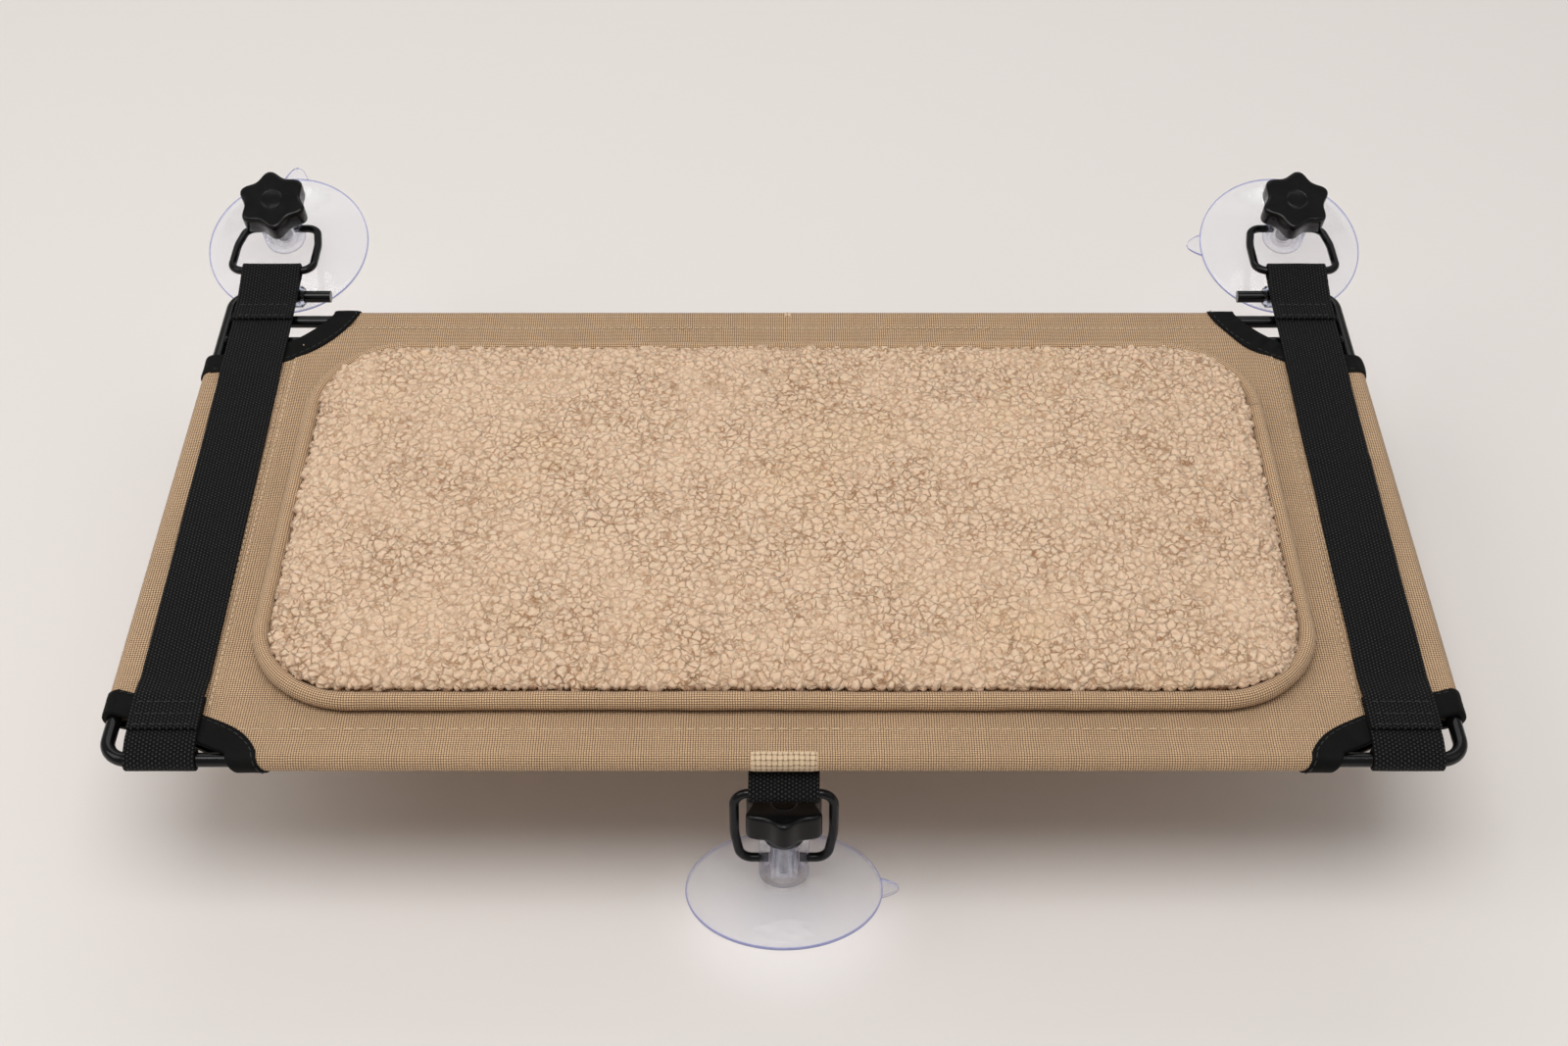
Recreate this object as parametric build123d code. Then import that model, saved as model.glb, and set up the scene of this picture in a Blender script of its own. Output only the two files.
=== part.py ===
from build123d import *
import math
import os

# Window mounted cat perch. +X is to the right, +Y points at the window and +Z is up.
# The origin lies at mid-width on the axis of the frame's two free rod ends.

# Clearances shared by the whole perch
soft_gap = 0.3
sewn_gap = 0.1
seat_gap = 0.05
running_gap = 0.08
overrun = 14.0

# Rod frame
rod_d = 6.0
frame_width = 560.0
frame_depth = 300.0
frame_corner_r = 10.0
stub_length = 48.0
rear_bar_setback = 20.0
under_bar_setback = 36.5
weld_bead_d = 9.0
weld_bead_length = 3.2
weld_root = 0.8

# Clear sleeves on the free rod ends
bumper_d = 11.0
bumper_length = 18.0
bumper_inset = 13.0
bumper_bevel = 1.4

# Canvas deck
canvas_t = 1.2
front_hem = 17.0
side_hem = 38.0
rear_hem = 11.0
front_scoop_width = 51.0
front_scoop_depth = 22.0
front_scoop_bow = 1.0
rear_scoop_width = 54.0
rear_scoop_depth = 32.0
rear_scoop_bow = 9.5
tape_t = 0.8
tape_width = 12.0

# Side straps
web_width = 29.2
web_t = 1.5
strap_front_inset = 23.5
strap_rear_inset = 18.0
strap_setback = 9.5
bar_loop_reach = 28.0
bar_loop_start = 40.0
bar_loop_leave = 110.0
bar_loop_bend_r = 3.0
strap_rise = 12.0
strap_bend_r = 18.0
tail_length = 36.0
loop_taper = 22.0
rear_lift_start = 77.0
rear_lift_end = 66.0
front_tail_share = 0.45

# Wire rings
wire_d = 4.0
ring_reach = 35.0
ring_width = 41.0
ring_neck_width = 36.0
ring_neck_height = 14.0
ring_corner_r = 6.0
ring_kink_r = 30.0

# Suction cups, measured from the axis that the ring's ends turn on
cup_d = 83.0
cup_rim_drop = 16.5
cup_rim_t = 1.4
cup_lip = 2.0
cup_hollow = 4.8
cup_wall_t = 2.6
boss_d = 20.0
stem_d = 12.0
hub_d = 21.2
hub_height = 18.0
hub_bevel = 1.8
tab_length = 7.0
tab_width = 12.0
tab_tip_r = 2.6
tab_t = 1.4
seam_turn = 45.0

# Knobs
stud_d = 8.0
stud_depth = 6.0
stud_grip = 7.0
stud_spare = 1.75
stud_bevel = 0.8
collar_d = 18.0
collar_foot_d = 16.0
collar_bevel = 0.7
knob_d = 35.2
knob_t = 11.4
knob_face_height = 27.2
lobe_count = 6
scallop_r = 4.0
scallop_circle_d = 36.4
lobe_round = 3.0
knob_edge_bevel = 1.8
knob_foot_bevel = 1.2
face_ring_d = 9.0
face_ring_width = 0.9
face_ring_depth = 0.35

# Places and leans of the three cups
rear_ring_rise = 10.0
rear_ring_setback = 8.5
rear_cup_lean = 20.0
front_pivot_drop = 46.8
front_pivot_setback = 13.9
front_cup_lean = -18.0
front_ring_lean = -10.5

# Fleece mat
mat_side_setback = 54.0
mat_front_setback = 20.0
mat_rear_setback = 48.0
mat_corner_r = 47.0
piping_d = 8.0
mat_base_t = 1.2
core_inset = 24.0
core_t = 6.0
fleece_inset = 7.2
fleece_foot = 2.6
fleece_crown = 15.4
crown_height_shares = [0.0, 0.24, 0.40, 0.60, 0.75, 0.85, 0.92, 0.97, 1.0]
crown_inset_shares = [0.022, 0.011, 0.0, 0.004, 0.020, 0.053, 0.127, 0.347, 0.715]

# Values worked out from the sizes above
rod_r = rod_d / 2
side_x = frame_width / 2 - rod_r
strap_front_x = side_x - strap_front_inset
strap_rear_x = side_x - strap_rear_inset
mat_width = frame_width - mat_side_setback * 2
mat_depth = frame_depth - mat_front_setback - mat_rear_setback
front_y = -frame_depth
rear_bar_y = -rear_bar_setback
under_bar_y = -under_bar_setback
sleeve_bore_r = rod_r + soft_gap
sleeve_r = sleeve_bore_r + canvas_t
deck_top = sleeve_r
deck_bottom = sleeve_bore_r
tape_top = deck_top + sewn_gap + tape_t
wire_r = wire_d / 2
web_half = web_t / 2
web_loop_r = wire_r + soft_gap + web_half
bar_loop_r = rod_r + soft_gap + web_half
hub_half = hub_height / 2
front_pivot = (front_y - front_pivot_setback, -front_pivot_drop)
rear_pivot = (rear_ring_setback + ring_reach, rear_ring_rise)


def along_x(profile, start_x, length, y=0, z=0):
    """Extrudes a profile drawn with Y across and Z up along X."""
    plane = Plane(origin=(start_x, y, z), x_dir=(0, 1, 0), z_dir=(1, 0, 0))
    return extrude(plane * profile, amount=length)


def rod_along_x(radius, half_length, y):
    return along_x(Circle(radius), -half_length, half_length * 2, y=y)


def rod_along_y(radius, x, start_y, length):
    plane = Plane(origin=(x, start_y, 0), x_dir=(-1, 0, 0), z_dir=(0, 1, 0))
    return extrude(plane * Circle(radius), amount=length)


def tube(path, radius):
    return sweep(Plane(origin=path @ 0, z_dir=path % 0) * Circle(radius), path=path)


# Rod frame: one bent rod, two cross bars butted between its sides and their weld beads
def frame_rod():
    corners = [
        (-side_x + stub_length, 0, 0),
        (-side_x, 0, 0),
        (-side_x, front_y, 0),
        (side_x, front_y, 0),
        (side_x, 0, 0),
        (side_x - stub_length, 0, 0),
    ]
    return tube(FilletPolyline(*corners, radius=frame_corner_r), rod_r)


def side_rod_cutter(side):
    return rod_along_y(rod_r + seat_gap, side * side_x, front_y, frame_depth)


def cross_bar(y):
    bar = rod_along_x(rod_r, side_x, y)
    return bar - side_rod_cutter(-1) - side_rod_cutter(1)


def weld_beads():
    beads = []
    for y in (rear_bar_y, under_bar_y):
        for side in (-1, 1):
            foot_x = side * (side_x - rod_r + weld_root)
            bead = Plane(origin=(foot_x, y, 0), z_dir=(-side, 0, 0)) * Cone(
                weld_bead_d / 2,
                rod_r + seat_gap,
                weld_bead_length,
                align=(Align.CENTER, Align.CENTER, Align.MIN),
            )
            bead = bead - rod_along_x(rod_r + seat_gap, side_x, y) - side_rod_cutter(side)
            beads.append(bead)
    return Compound(children=[solid for bead in beads for solid in bead.solids()])


def glass_bumper(side):
    body = Cylinder(bumper_d / 2, bumper_length)
    body = chamfer(body.edges().filter_by(GeomType.CIRCLE), bumper_bevel)
    body -= Cylinder(rod_r + seat_gap, bumper_length + overrun)
    centre_x = side * (side_x - stub_length + bumper_inset + bumper_length / 2)
    return Pos(centre_x, 0, 0) * Rot(0, 90, 0) * body


# Canvas deck: a flat panel whose four hems wrap the rods, with a scoop at each corner
def hem_profile(reach, grow):
    radius = sleeve_r + grow
    low = deck_bottom - grow
    high = deck_top + grow
    distance = math.hypot(reach, low)
    touch = math.atan2(low, reach) - math.acos(radius / distance)
    outline = Polyline(
        (0, high),
        (reach, high),
        (reach, low),
        (radius * math.cos(touch), radius * math.sin(touch)),
        (0, 0),
        close=True,
    )
    return make_face(outline) + Circle(radius)


def deck_form(grow):
    depth = rear_bar_y - front_y
    across = side_x * 2
    panel = Pos(0, (front_y + rear_bar_y) / 2, (deck_top + deck_bottom) / 2) * Box(
        across, depth, canvas_t + grow * 2
    )
    front = Plane(origin=(-side_x, front_y, 0), x_dir=(0, 1, 0), z_dir=(1, 0, 0))
    rear = Plane(origin=(side_x, rear_bar_y, 0), x_dir=(0, -1, 0), z_dir=(-1, 0, 0))
    left = Plane(origin=(-side_x, rear_bar_y, 0), x_dir=(1, 0, 0), z_dir=(0, -1, 0))
    right = Plane(origin=(side_x, front_y, 0), x_dir=(-1, 0, 0), z_dir=(0, 1, 0))
    form = panel
    form += extrude(front * hem_profile(front_hem, grow), amount=across)
    form += extrude(rear * hem_profile(rear_hem, grow), amount=across)
    form += extrude(left * hem_profile(side_hem, grow), amount=depth)
    form += extrude(right * hem_profile(side_hem, grow), amount=depth)
    return form


def rod_bores():
    bores = rod_along_x(sleeve_bore_r, side_x, front_y)
    bores += rod_along_x(sleeve_bore_r, side_x, rear_bar_y)
    for side in (-1, 1):
        bores += rod_along_y(sleeve_bore_r, side * side_x, front_y, frame_depth)
    return bores


def scoop(side, at_rear, grow):
    """The vertical prism that a corner scoop cuts away, made larger all round by grow."""
    width = (rear_scoop_width if at_rear else front_scoop_width) + grow
    depth = (rear_scoop_depth if at_rear else front_scoop_depth) + grow
    bow = rear_scoop_bow if at_rear else front_scoop_bow
    chord = math.hypot(width, depth)
    middle = (width / 2 + bow * depth / chord, depth / 2 + bow * width / chord)
    outline = [
        Line((-overrun, -overrun), (width, -overrun)),
        Line((width, -overrun), (width, 0)),
        ThreePointArc((width, 0), middle, (0, depth)),
        Line((0, depth), (-overrun, depth)),
        Line((-overrun, depth), (-overrun, -overrun)),
    ]
    corner_y = rear_bar_y if at_rear else front_y
    prism = extrude(make_face(outline), amount=overrun, both=True)
    if side > 0:
        prism = mirror(prism, about=Plane.YZ)
    if at_rear:
        prism = mirror(prism, about=Plane.XZ)
    return Pos(side * side_x, corner_y, 0) * prism


def deck_canvas():
    deck = deck_form(0) - rod_bores()
    for side in (-1, 1):
        for at_rear in (False, True):
            deck -= scoop(side, at_rear, 0)
    return deck


def corner_tape(side, at_rear):
    """Binding tape folded over the scooped edge: a strip above, a strip below and the lip."""
    band = deck_form(sewn_gap + tape_t) & scoop(side, at_rear, tape_width)
    band -= scoop(side, at_rear, -sewn_gap - tape_t)
    band -= deck_form(sewn_gap) - scoop(side, at_rear, -sewn_gap)
    band -= rod_along_x(sleeve_bore_r, side_x, under_bar_y)
    return band - rod_bores()


# Webbing: flat strip swept along a path drawn in the YZ plane
def ribbon(edges, start_x, width):
    path = Wire([edge for part in edges for edge in part.edges()])
    section = Plane(origin=path @ 0, x_dir=(1, 0, 0), z_dir=path % 0) * Rectangle(width, web_t)
    return Pos(start_x + width / 2, 0, 0) * sweep(section, path=path)


def yz(y, z):
    return (0, y, z)


def yz_arc(centre, radius, start, sweep_angle):
    plane = Plane(origin=yz(*centre), x_dir=(0, 1, 0), z_dir=(1, 0, 0))
    return plane * CenterArc((0, 0), radius, start, sweep_angle)


def touch_angle(centre, radius, point, turn):
    """Angle on a circle where the line from an outside point touches it."""
    dy = point[0] - centre[0]
    dz = point[1] - centre[1]
    spread = math.degrees(math.acos(radius / math.hypot(dy, dz)))
    return math.degrees(math.atan2(dz, dy)) + turn * spread


def on_circle(centre, radius, angle):
    a = math.radians(angle)
    return (centre[0] + radius * math.cos(a), centre[1] + radius * math.sin(a))


over_tape_z = tape_top + soft_gap + web_half
second_layer_z = over_tape_z + web_t + sewn_gap
on_deck_z = deck_top + soft_gap + web_half
rear_bar_centre = (rear_ring_setback, rear_ring_rise)


def side_strap(side):
    lift_off = (-rear_bar_setback + sewn_gap, over_tape_z)
    tail_foot = (rear_ring_setback - loop_taper, second_layer_z)
    low_angle = touch_angle(rear_bar_centre, web_loop_r, lift_off, 1) - 360
    high_angle = touch_angle(rear_bar_centre, web_loop_r, tail_foot, -1)
    low_touch = on_circle(rear_bar_centre, web_loop_r, low_angle)
    high_touch = on_circle(rear_bar_centre, web_loop_r, high_angle)
    run = FilletPolyline(
        yz(front_y + strap_setback, second_layer_z),
        yz(front_y + bar_loop_reach, second_layer_z),
        yz(front_y + bar_loop_reach + strap_rise, on_deck_z),
        yz(-rear_lift_start, on_deck_z),
        yz(-rear_lift_end, over_tape_z),
        yz(*lift_off),
        yz(*low_touch),
        radius=strap_bend_r,
    )
    bend = yz_arc(rear_bar_centre, web_loop_r, low_angle, high_angle - low_angle)
    tail = FilletPolyline(
        yz(*high_touch),
        yz(*tail_foot),
        yz(rear_ring_setback - tail_length, second_layer_z),
        radius=strap_bend_r,
    )
    wide = strap_rear_x - strap_front_x + web_width + overrun
    strip = ribbon([run, bend, tail], strap_front_x - web_width / 2 - overrun / 2, wide)
    reach = rear_ring_setback + ring_reach
    half = web_width / 2
    plan = Polyline(
        (strap_front_x - half, front_y),
        (strap_front_x + half, front_y),
        (strap_rear_x + half, reach),
        (strap_rear_x - half, reach),
        close=True,
    )
    strip &= extrude(make_face(plan), amount=overrun * 2)
    return strip if side > 0 else mirror(strip, about=Plane.YZ)


def bar_loop(side):
    """Short webbing loop round the front bar, sewn under the strap."""
    centre = (front_y, 0)
    leave_point = on_circle(centre, bar_loop_r, bar_loop_leave)
    climb = over_tape_z - leave_point[1]
    climb_run = climb / math.tan(math.radians(bar_loop_leave - 90))
    wrap = yz_arc(centre, bar_loop_r, bar_loop_start, bar_loop_leave - bar_loop_start - 360)
    tail = FilletPolyline(
        yz(*leave_point),
        yz(leave_point[0] + climb_run, over_tape_z),
        yz(front_y + bar_loop_reach - sewn_gap, over_tape_z),
        radius=bar_loop_bend_r,
    )
    strip = ribbon([wrap, tail], strap_front_x - web_width / 2, web_width)
    return strip if side > 0 else mirror(strip, about=Plane.YZ)


front_bar_centre = (
    front_pivot[0] - ring_reach * math.sin(math.radians(front_ring_lean)),
    front_pivot[1] + ring_reach * math.cos(math.radians(front_ring_lean)),
)


def front_strap():
    """Webbing hanging from the front hem, folded round the front ring."""
    sewn_r = sleeve_r + soft_gap + web_half
    dy = front_bar_centre[0] - front_y
    dz = front_bar_centre[1]
    spread = math.degrees(math.acos((sewn_r + web_loop_r) / math.hypot(dy, dz)))
    away = math.degrees(math.atan2(dz, dy))
    sewn_point = on_circle((front_y, 0), sewn_r, away + spread)
    high_angle = away + 180 + spread
    low_angle = touch_angle(front_bar_centre, web_loop_r, sewn_point, -1) + 360
    high_touch = on_circle(front_bar_centre, web_loop_r, high_angle)
    low_touch = on_circle(front_bar_centre, web_loop_r, low_angle)
    upper = Line(yz(*sewn_point), yz(*high_touch))
    bend = yz_arc(front_bar_centre, web_loop_r, high_angle, low_angle - high_angle)
    tail_end = (
        low_touch[0] + (sewn_point[0] - low_touch[0]) * front_tail_share,
        low_touch[1] + (sewn_point[1] - low_touch[1]) * front_tail_share,
    )
    tail = Line(yz(*low_touch), yz(*tail_end))
    return ribbon([upper, bend, tail], -web_width / 2, web_width)


# Wire ring, drawn with its ends on the X axis and the strap's bar above them
def ring():
    half = ring_width / 2
    neck = ring_neck_width / 2
    end_x = stem_d / 2 + running_gap + soft_gap
    points = [
        (-end_x, 0, 0),
        (-neck, 0, 0),
        (-half, 0, ring_neck_height),
        (-half, 0, ring_reach),
        (half, 0, ring_reach),
        (half, 0, ring_neck_height),
        (neck, 0, 0),
        (end_x, 0, 0),
    ]
    radii = [ring_corner_r, ring_kink_r, ring_corner_r, ring_corner_r, ring_kink_r, ring_corner_r]
    return tube(FilletPolyline(*points, radius=radii), wire_r)


# Suction cup: one clear moulding with a boss, a stem for the stud and a pull tab
def cup(tab_angle):
    rim_z = -cup_rim_drop
    rim_top = rim_z + cup_rim_t
    crown_z = rim_z + cup_hollow
    boss_foot = crown_z + cup_wall_t
    boss_top = -hub_half - running_gap
    rim_r = cup_d / 2
    boss_r = boss_d / 2
    stem_r = stem_d / 2
    stem_top = hub_half - seat_gap
    bore_floor = -stud_depth - stud_spare
    bore_r = stud_d / 2 + running_gap
    half_way = (rim_r + boss_r) / 2
    top_mid = (rim_top + boss_foot) / 2 + cup_rim_t / 2
    hollow_mid = (rim_z + crown_z) / 2 + cup_rim_t / 2
    outline = [
        Line((0, crown_z), (0, bore_floor)),
        Line((0, bore_floor), (bore_r, bore_floor)),
        Line((bore_r, bore_floor), (bore_r, stem_top)),
        Line((bore_r, stem_top), (stem_r, stem_top)),
        Line((stem_r, stem_top), (stem_r, boss_top)),
        Line((stem_r, boss_top), (boss_r, boss_top)),
        Line((boss_r, boss_top), (boss_r, boss_foot)),
        ThreePointArc((boss_r, boss_foot), (half_way, top_mid), (rim_r, rim_top)),
        Line((rim_r, rim_top), (rim_r, rim_z)),
        Line((rim_r, rim_z), (rim_r - cup_lip, rim_z)),
        ThreePointArc((rim_r - cup_lip, rim_z), (rim_r / 2, hollow_mid), (0, crown_z)),
    ]
    seam_angle = tab_angle + seam_turn
    dish = Rot(0, 0, seam_angle) * revolve(Plane.XZ * make_face(outline), axis=Axis.Z)
    tab_base = rim_r - tab_t
    tip = Pos(rim_r + tab_length - tab_tip_r, 0) * Circle(tab_tip_r)
    root = Pos(tab_base, 0) * Rectangle(tab_t, tab_width)
    tab_plan = make_hull(tip.edges() + root.edges())
    tab = Pos(0, 0, rim_z) * extrude(tab_plan, amount=tab_t)
    return dish + Rot(0, 0, tab_angle) * tab


def hub():
    body = Cylinder(hub_d / 2, hub_height)
    body = chamfer(body.edges().filter_by(GeomType.CIRCLE), hub_bevel)
    body -= Cylinder(stem_d / 2 + running_gap, hub_height + overrun)
    return body - Rot(0, 90, 0) * Cylinder(wire_r + running_gap, hub_d + overrun)


# Knob, its stud and the collar that they press on the hub
knob_foot = knob_face_height - knob_t
collar_foot = hub_half + sewn_gap
collar_top = knob_foot - sewn_gap


def collar():
    outline = Polyline(
        (stud_d / 2 + running_gap, collar_foot),
        (collar_foot_d / 2, collar_foot),
        (collar_d / 2, (collar_foot + collar_top) / 2),
        (collar_d / 2, collar_top),
        (stud_d / 2 + running_gap, collar_top),
        close=True,
    )
    body = revolve(Plane.XZ * make_face(outline), axis=Axis.Z)
    outer = body.edges().filter_by(GeomType.CIRCLE).sort_by(SortBy.RADIUS)[-1]
    return chamfer(outer, collar_bevel)


def stud():
    length = stud_depth + knob_foot + stud_grip
    body = Cylinder(stud_d / 2, length, align=(Align.CENTER, Align.CENTER, Align.MIN))
    tip = body.edges().filter_by(GeomType.CIRCLE).sort_by(Axis.Z)[0]
    return Pos(0, 0, -stud_depth) * chamfer(tip, stud_bevel)


def knob(turn):
    plan = Circle(knob_d / 2)
    step = 360 / lobe_count
    for i in range(lobe_count):
        angle = math.radians(step * (i + 1 / 2))
        reach = scallop_circle_d / 2
        plan -= Pos(reach * math.cos(angle), reach * math.sin(angle)) * Circle(scallop_r)
    plan = fillet(plan.vertices(), lobe_round)
    body = Pos(0, 0, knob_foot) * extrude(plan, amount=knob_t)
    body = chamfer(body.edges().group_by(Axis.Z)[-1], knob_edge_bevel)
    body = chamfer(body.edges().group_by(Axis.Z)[0], knob_foot_bevel)
    socket_h = stud_grip + seat_gap
    socket = Cylinder(
        stud_d / 2 + seat_gap, socket_h, align=(Align.CENTER, Align.CENTER, Align.MIN)
    )
    body -= Pos(0, 0, knob_foot) * socket
    groove = Circle(face_ring_d / 2 + face_ring_width) - Circle(face_ring_d / 2)
    groove = Pos(0, 0, knob_face_height - face_ring_depth) * extrude(groove, amount=face_ring_depth)
    return Rot(0, 0, turn) * (body - groove)


# Fleece mat: canvas base, foam core, fleece top and a piped edge
mat_centre_y = front_y + mat_front_setback + mat_depth / 2
mat_floor = deck_top + soft_gap


def mat_outline(inset):
    return RectangleRounded(mat_width - inset * 2, mat_depth - inset * 2, mat_corner_r - inset)


def mat_base():
    lift = piping_d / 2 - mat_base_t
    seat = math.sqrt((piping_d / 2) ** 2 - lift**2)
    inset = piping_d / 2 + seat + sewn_gap
    return Pos(0, mat_centre_y, mat_floor) * extrude(mat_outline(inset), amount=mat_base_t)


def mat_core():
    foot = mat_floor + mat_base_t + sewn_gap
    return Pos(0, mat_centre_y, foot) * extrude(mat_outline(core_inset), amount=core_t)


def mat_fleece():
    foot = mat_floor + fleece_foot
    half_depth = mat_depth / 2 - fleece_inset
    sections = []
    for height_share, inset_share in zip(crown_height_shares, crown_inset_shares):
        draw_in = inset_share * half_depth
        outline = RectangleRounded(
            mat_width - (fleece_inset + draw_in) * 2,
            (half_depth - draw_in) * 2,
            (mat_corner_r - fleece_inset) * (1 - inset_share),
        )
        sections.append(Pos(0, mat_centre_y, foot + height_share * fleece_crown) * outline)
    form = loft(sections, ruled=True)
    pocket_h = mat_base_t + core_t + sewn_gap * 2
    pocket = extrude(mat_outline(core_inset - sewn_gap), amount=pocket_h)
    return form - Pos(0, mat_centre_y, mat_floor) * pocket


def mat_piping():
    outline = mat_outline(piping_d / 2)
    path = Pos(0, mat_centre_y, mat_floor + piping_d / 2) * outline.wire()
    return tube(path, piping_d / 2)


# Places of the pieces that the rings carry
def at_rear_cup(side, piece, lean):
    return Pos(side * strap_rear_x, *rear_pivot) * Rot(lean, 0, 0) * piece


def at_front_cup(piece, lean):
    return Pos(0, *front_pivot) * Rot(lean, 0, 0) * piece


parts = {
    "frame_rod": frame_rod(),
    "rear_bar": cross_bar(rear_bar_y),
    "under_bar": cross_bar(under_bar_y),
    "weld_beads": weld_beads(),
    "deck_canvas": deck_canvas(),
    "mat_base": mat_base(),
    "mat_core": mat_core(),
    "mat_fleece": mat_fleece(),
    "mat_piping": mat_piping(),
    "strap_front": front_strap(),
}

side_names = {-1: "left", 1: "right"}
for side, word in side_names.items():
    parts["glass_bumper_" + word] = glass_bumper(side)
    parts["corner_tape_front_" + word] = corner_tape(side, False)
    parts["corner_tape_rear_" + word] = corner_tape(side, True)
    parts["strap_" + word] = side_strap(side)
    parts["bar_loop_" + word] = bar_loop(side)

tab_angles = {"left": 90, "right": 180, "front": 0}
knob_turns = {"left": -98, "right": -82, "front": -90}
for word, tab_angle in tab_angles.items():
    pieces = {
        "ring": ring(),
        "hub": hub(),
        "cup": cup(tab_angle),
        "collar": collar(),
        "stud": stud(),
        "knob": knob(knob_turns[word]),
    }
    for name, piece in pieces.items():
        if word == "front":
            lean = front_ring_lean if name == "ring" else front_cup_lean
            placed = at_front_cup(piece, lean)
        else:
            side = -1 if word == "left" else 1
            lean = 90 if name == "ring" else rear_cup_lean
            placed = at_rear_cup(side, piece, lean)
        parts[name + "_" + word] = placed

os.makedirs("parts", exist_ok=True)
for name, shape in parts.items():
    export_step(shape, "parts/" + name + ".step")
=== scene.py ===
import math

import bmesh
import bpy
import numpy as np
from mathutils import Matrix, Vector


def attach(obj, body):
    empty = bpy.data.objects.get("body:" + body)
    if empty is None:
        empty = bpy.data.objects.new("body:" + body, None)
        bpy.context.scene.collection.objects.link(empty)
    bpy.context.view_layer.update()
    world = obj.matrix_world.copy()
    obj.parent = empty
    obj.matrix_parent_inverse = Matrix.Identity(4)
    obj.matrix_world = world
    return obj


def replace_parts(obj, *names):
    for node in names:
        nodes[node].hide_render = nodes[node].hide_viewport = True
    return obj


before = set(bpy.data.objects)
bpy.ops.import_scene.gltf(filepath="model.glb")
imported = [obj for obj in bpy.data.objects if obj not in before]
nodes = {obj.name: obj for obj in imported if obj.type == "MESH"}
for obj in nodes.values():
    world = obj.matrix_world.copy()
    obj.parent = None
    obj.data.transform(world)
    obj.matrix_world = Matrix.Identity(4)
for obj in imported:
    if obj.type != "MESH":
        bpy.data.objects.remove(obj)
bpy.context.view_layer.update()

scene = bpy.context.scene
MM = 0.001


# Rod frame: one bent 6 mm steel rod, two cross rods welded between its sides.
# Gloss black powder coat with a fine orange peel; the weld beads keep their lumps.
def put(target, **values):
    for key, value in values.items():
        setattr(target, key, value)
    return target


def node(tree, kind, inputs=None, **settings):
    """Adds a shader node. Each input is a constant or another node's socket."""
    made = put(tree.nodes.new("ShaderNode" + kind), **settings)
    for key, value in (inputs or {}).items():
        if isinstance(value, bpy.types.NodeSocket):
            tree.links.new(value, made.inputs[key])
        else:
            made.inputs[key].default_value = value
    return made


def blend(tree, factor, first, second, kind="MIX"):
    inputs = {0: factor, 6: first, 7: second}
    return node(tree, "Mix", inputs, data_type="RGBA", blend_type=kind).outputs[2]


def remap(tree, value, low, high, to_low=0.0, to_high=1.0):
    inputs = {"Value": value, "From Min": low, "From Max": high}
    inputs |= {"To Min": to_low, "To Max": to_high}
    return node(tree, "MapRange", inputs).outputs[0]


def noise(tree, place, scale, detail=3.0, rough=0.55):
    inputs = {"Vector": place, "Scale": scale, "Detail": detail, "Roughness": rough}
    return node(tree, "TexNoise", inputs).outputs[0]


def bump(tree, height, depth, strength=1.0):
    """Height runs from 0 to 1 and depth is what that means in metres."""
    inputs = {"Height": height, "Distance": depth, "Strength": strength}
    return node(tree, "Bump", inputs).outputs[0]


def material(name, slot, **shader):
    """A new material; returns it, its tree, its shader and the object coordinates in metres."""
    made = bpy.data.materials.new(name)
    made.use_nodes = True
    made["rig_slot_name"] = slot
    tree = made.node_tree
    principled = tree.nodes["Principled BSDF"]
    for key, value in shader.items():
        principled.inputs[key.replace("_", " ")].default_value = value
    place = tree.nodes.new("ShaderNodeTexCoord").outputs["Object"]
    return made, tree, principled, place


def feed(tree, principled, **sockets):
    for key, socket in sockets.items():
        tree.links.new(socket, principled.inputs[key.replace("_", " ")])


def dress(obj, made):
    """Gives a piece its material and the record's slot."""
    obj.data.materials.clear()
    obj.data.materials.append(made)
    return obj


def smooth_cad(name, made, angle=35):
    """A hard CAD node shown as it is, shaded smooth away from its edges."""
    obj = nodes[name]
    obj.data.set_sharp_from_angle(angle=math.radians(angle))
    return dress(obj, made)


rod_black, tree, shader, place = material(
    "rod_black", "rod_black", Roughness=0.18, Specular_IOR_Level=0.25, Coat_Weight=0.05
)
peel = noise(tree, place, 900.0, 2.0)
dust = remap(tree, noise(tree, place, 2600.0, 4.0, 0.7), 0.62, 0.74, 0.0, 0.15)
haze = remap(tree, noise(tree, place, 60.0, 4.0), 0.35, 0.7, 0.15, 0.24)
black = blend(tree, dust, (0.003, 0.003, 0.0032, 1), (0.08, 0.08, 0.08, 1))
feed(tree, shader, Base_Color=black, Roughness=haze, Normal=bump(tree, peel, 0.00006, 0.5))
for name in ("frame_rod", "rear_bar", "under_bar", "weld_beads"):
    smooth_cad(name, rod_black)


# Clear sleeves: short tubes of soft clear vinyl with a faint blue violet body colour.
# They are pushed over the rod's two free ends and keep the frame off the pane.
sleeve_tint = (0.74, 0.80, 0.97, 1)
sleeve_vinyl, tree, shader, place = material(
    "sleeve_vinyl", "clear_vinyl", Roughness=0.06, IOR=1.47, Metallic=0.0, Transmission_Weight=1.0
)
ripple = noise(tree, place, 140.0, 2.0)
cloud = remap(tree, noise(tree, place, 45.0, 3.0), 0.3, 0.7)
body = blend(tree, cloud, sleeve_tint, tuple(c * 0.93 for c in sleeve_tint[:3]) + (1,))
feed(tree, shader, Base_Color=body, Normal=bump(tree, ripple, 0.0004, 0.35))
for word in ("left", "right"):
    smooth_cad("glass_bumper_" + word, sleeve_vinyl)


# Canvas deck: one beige canvas panel, folded round the rods and stitched down as hems.
# It is stretched on the frame, with puckers along its stitch rows.
def calc(tree, operation, *values):
    """One math node; returns its value socket."""
    return node(tree, "Math", dict(enumerate(values)), operation=operation).outputs[0]


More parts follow.
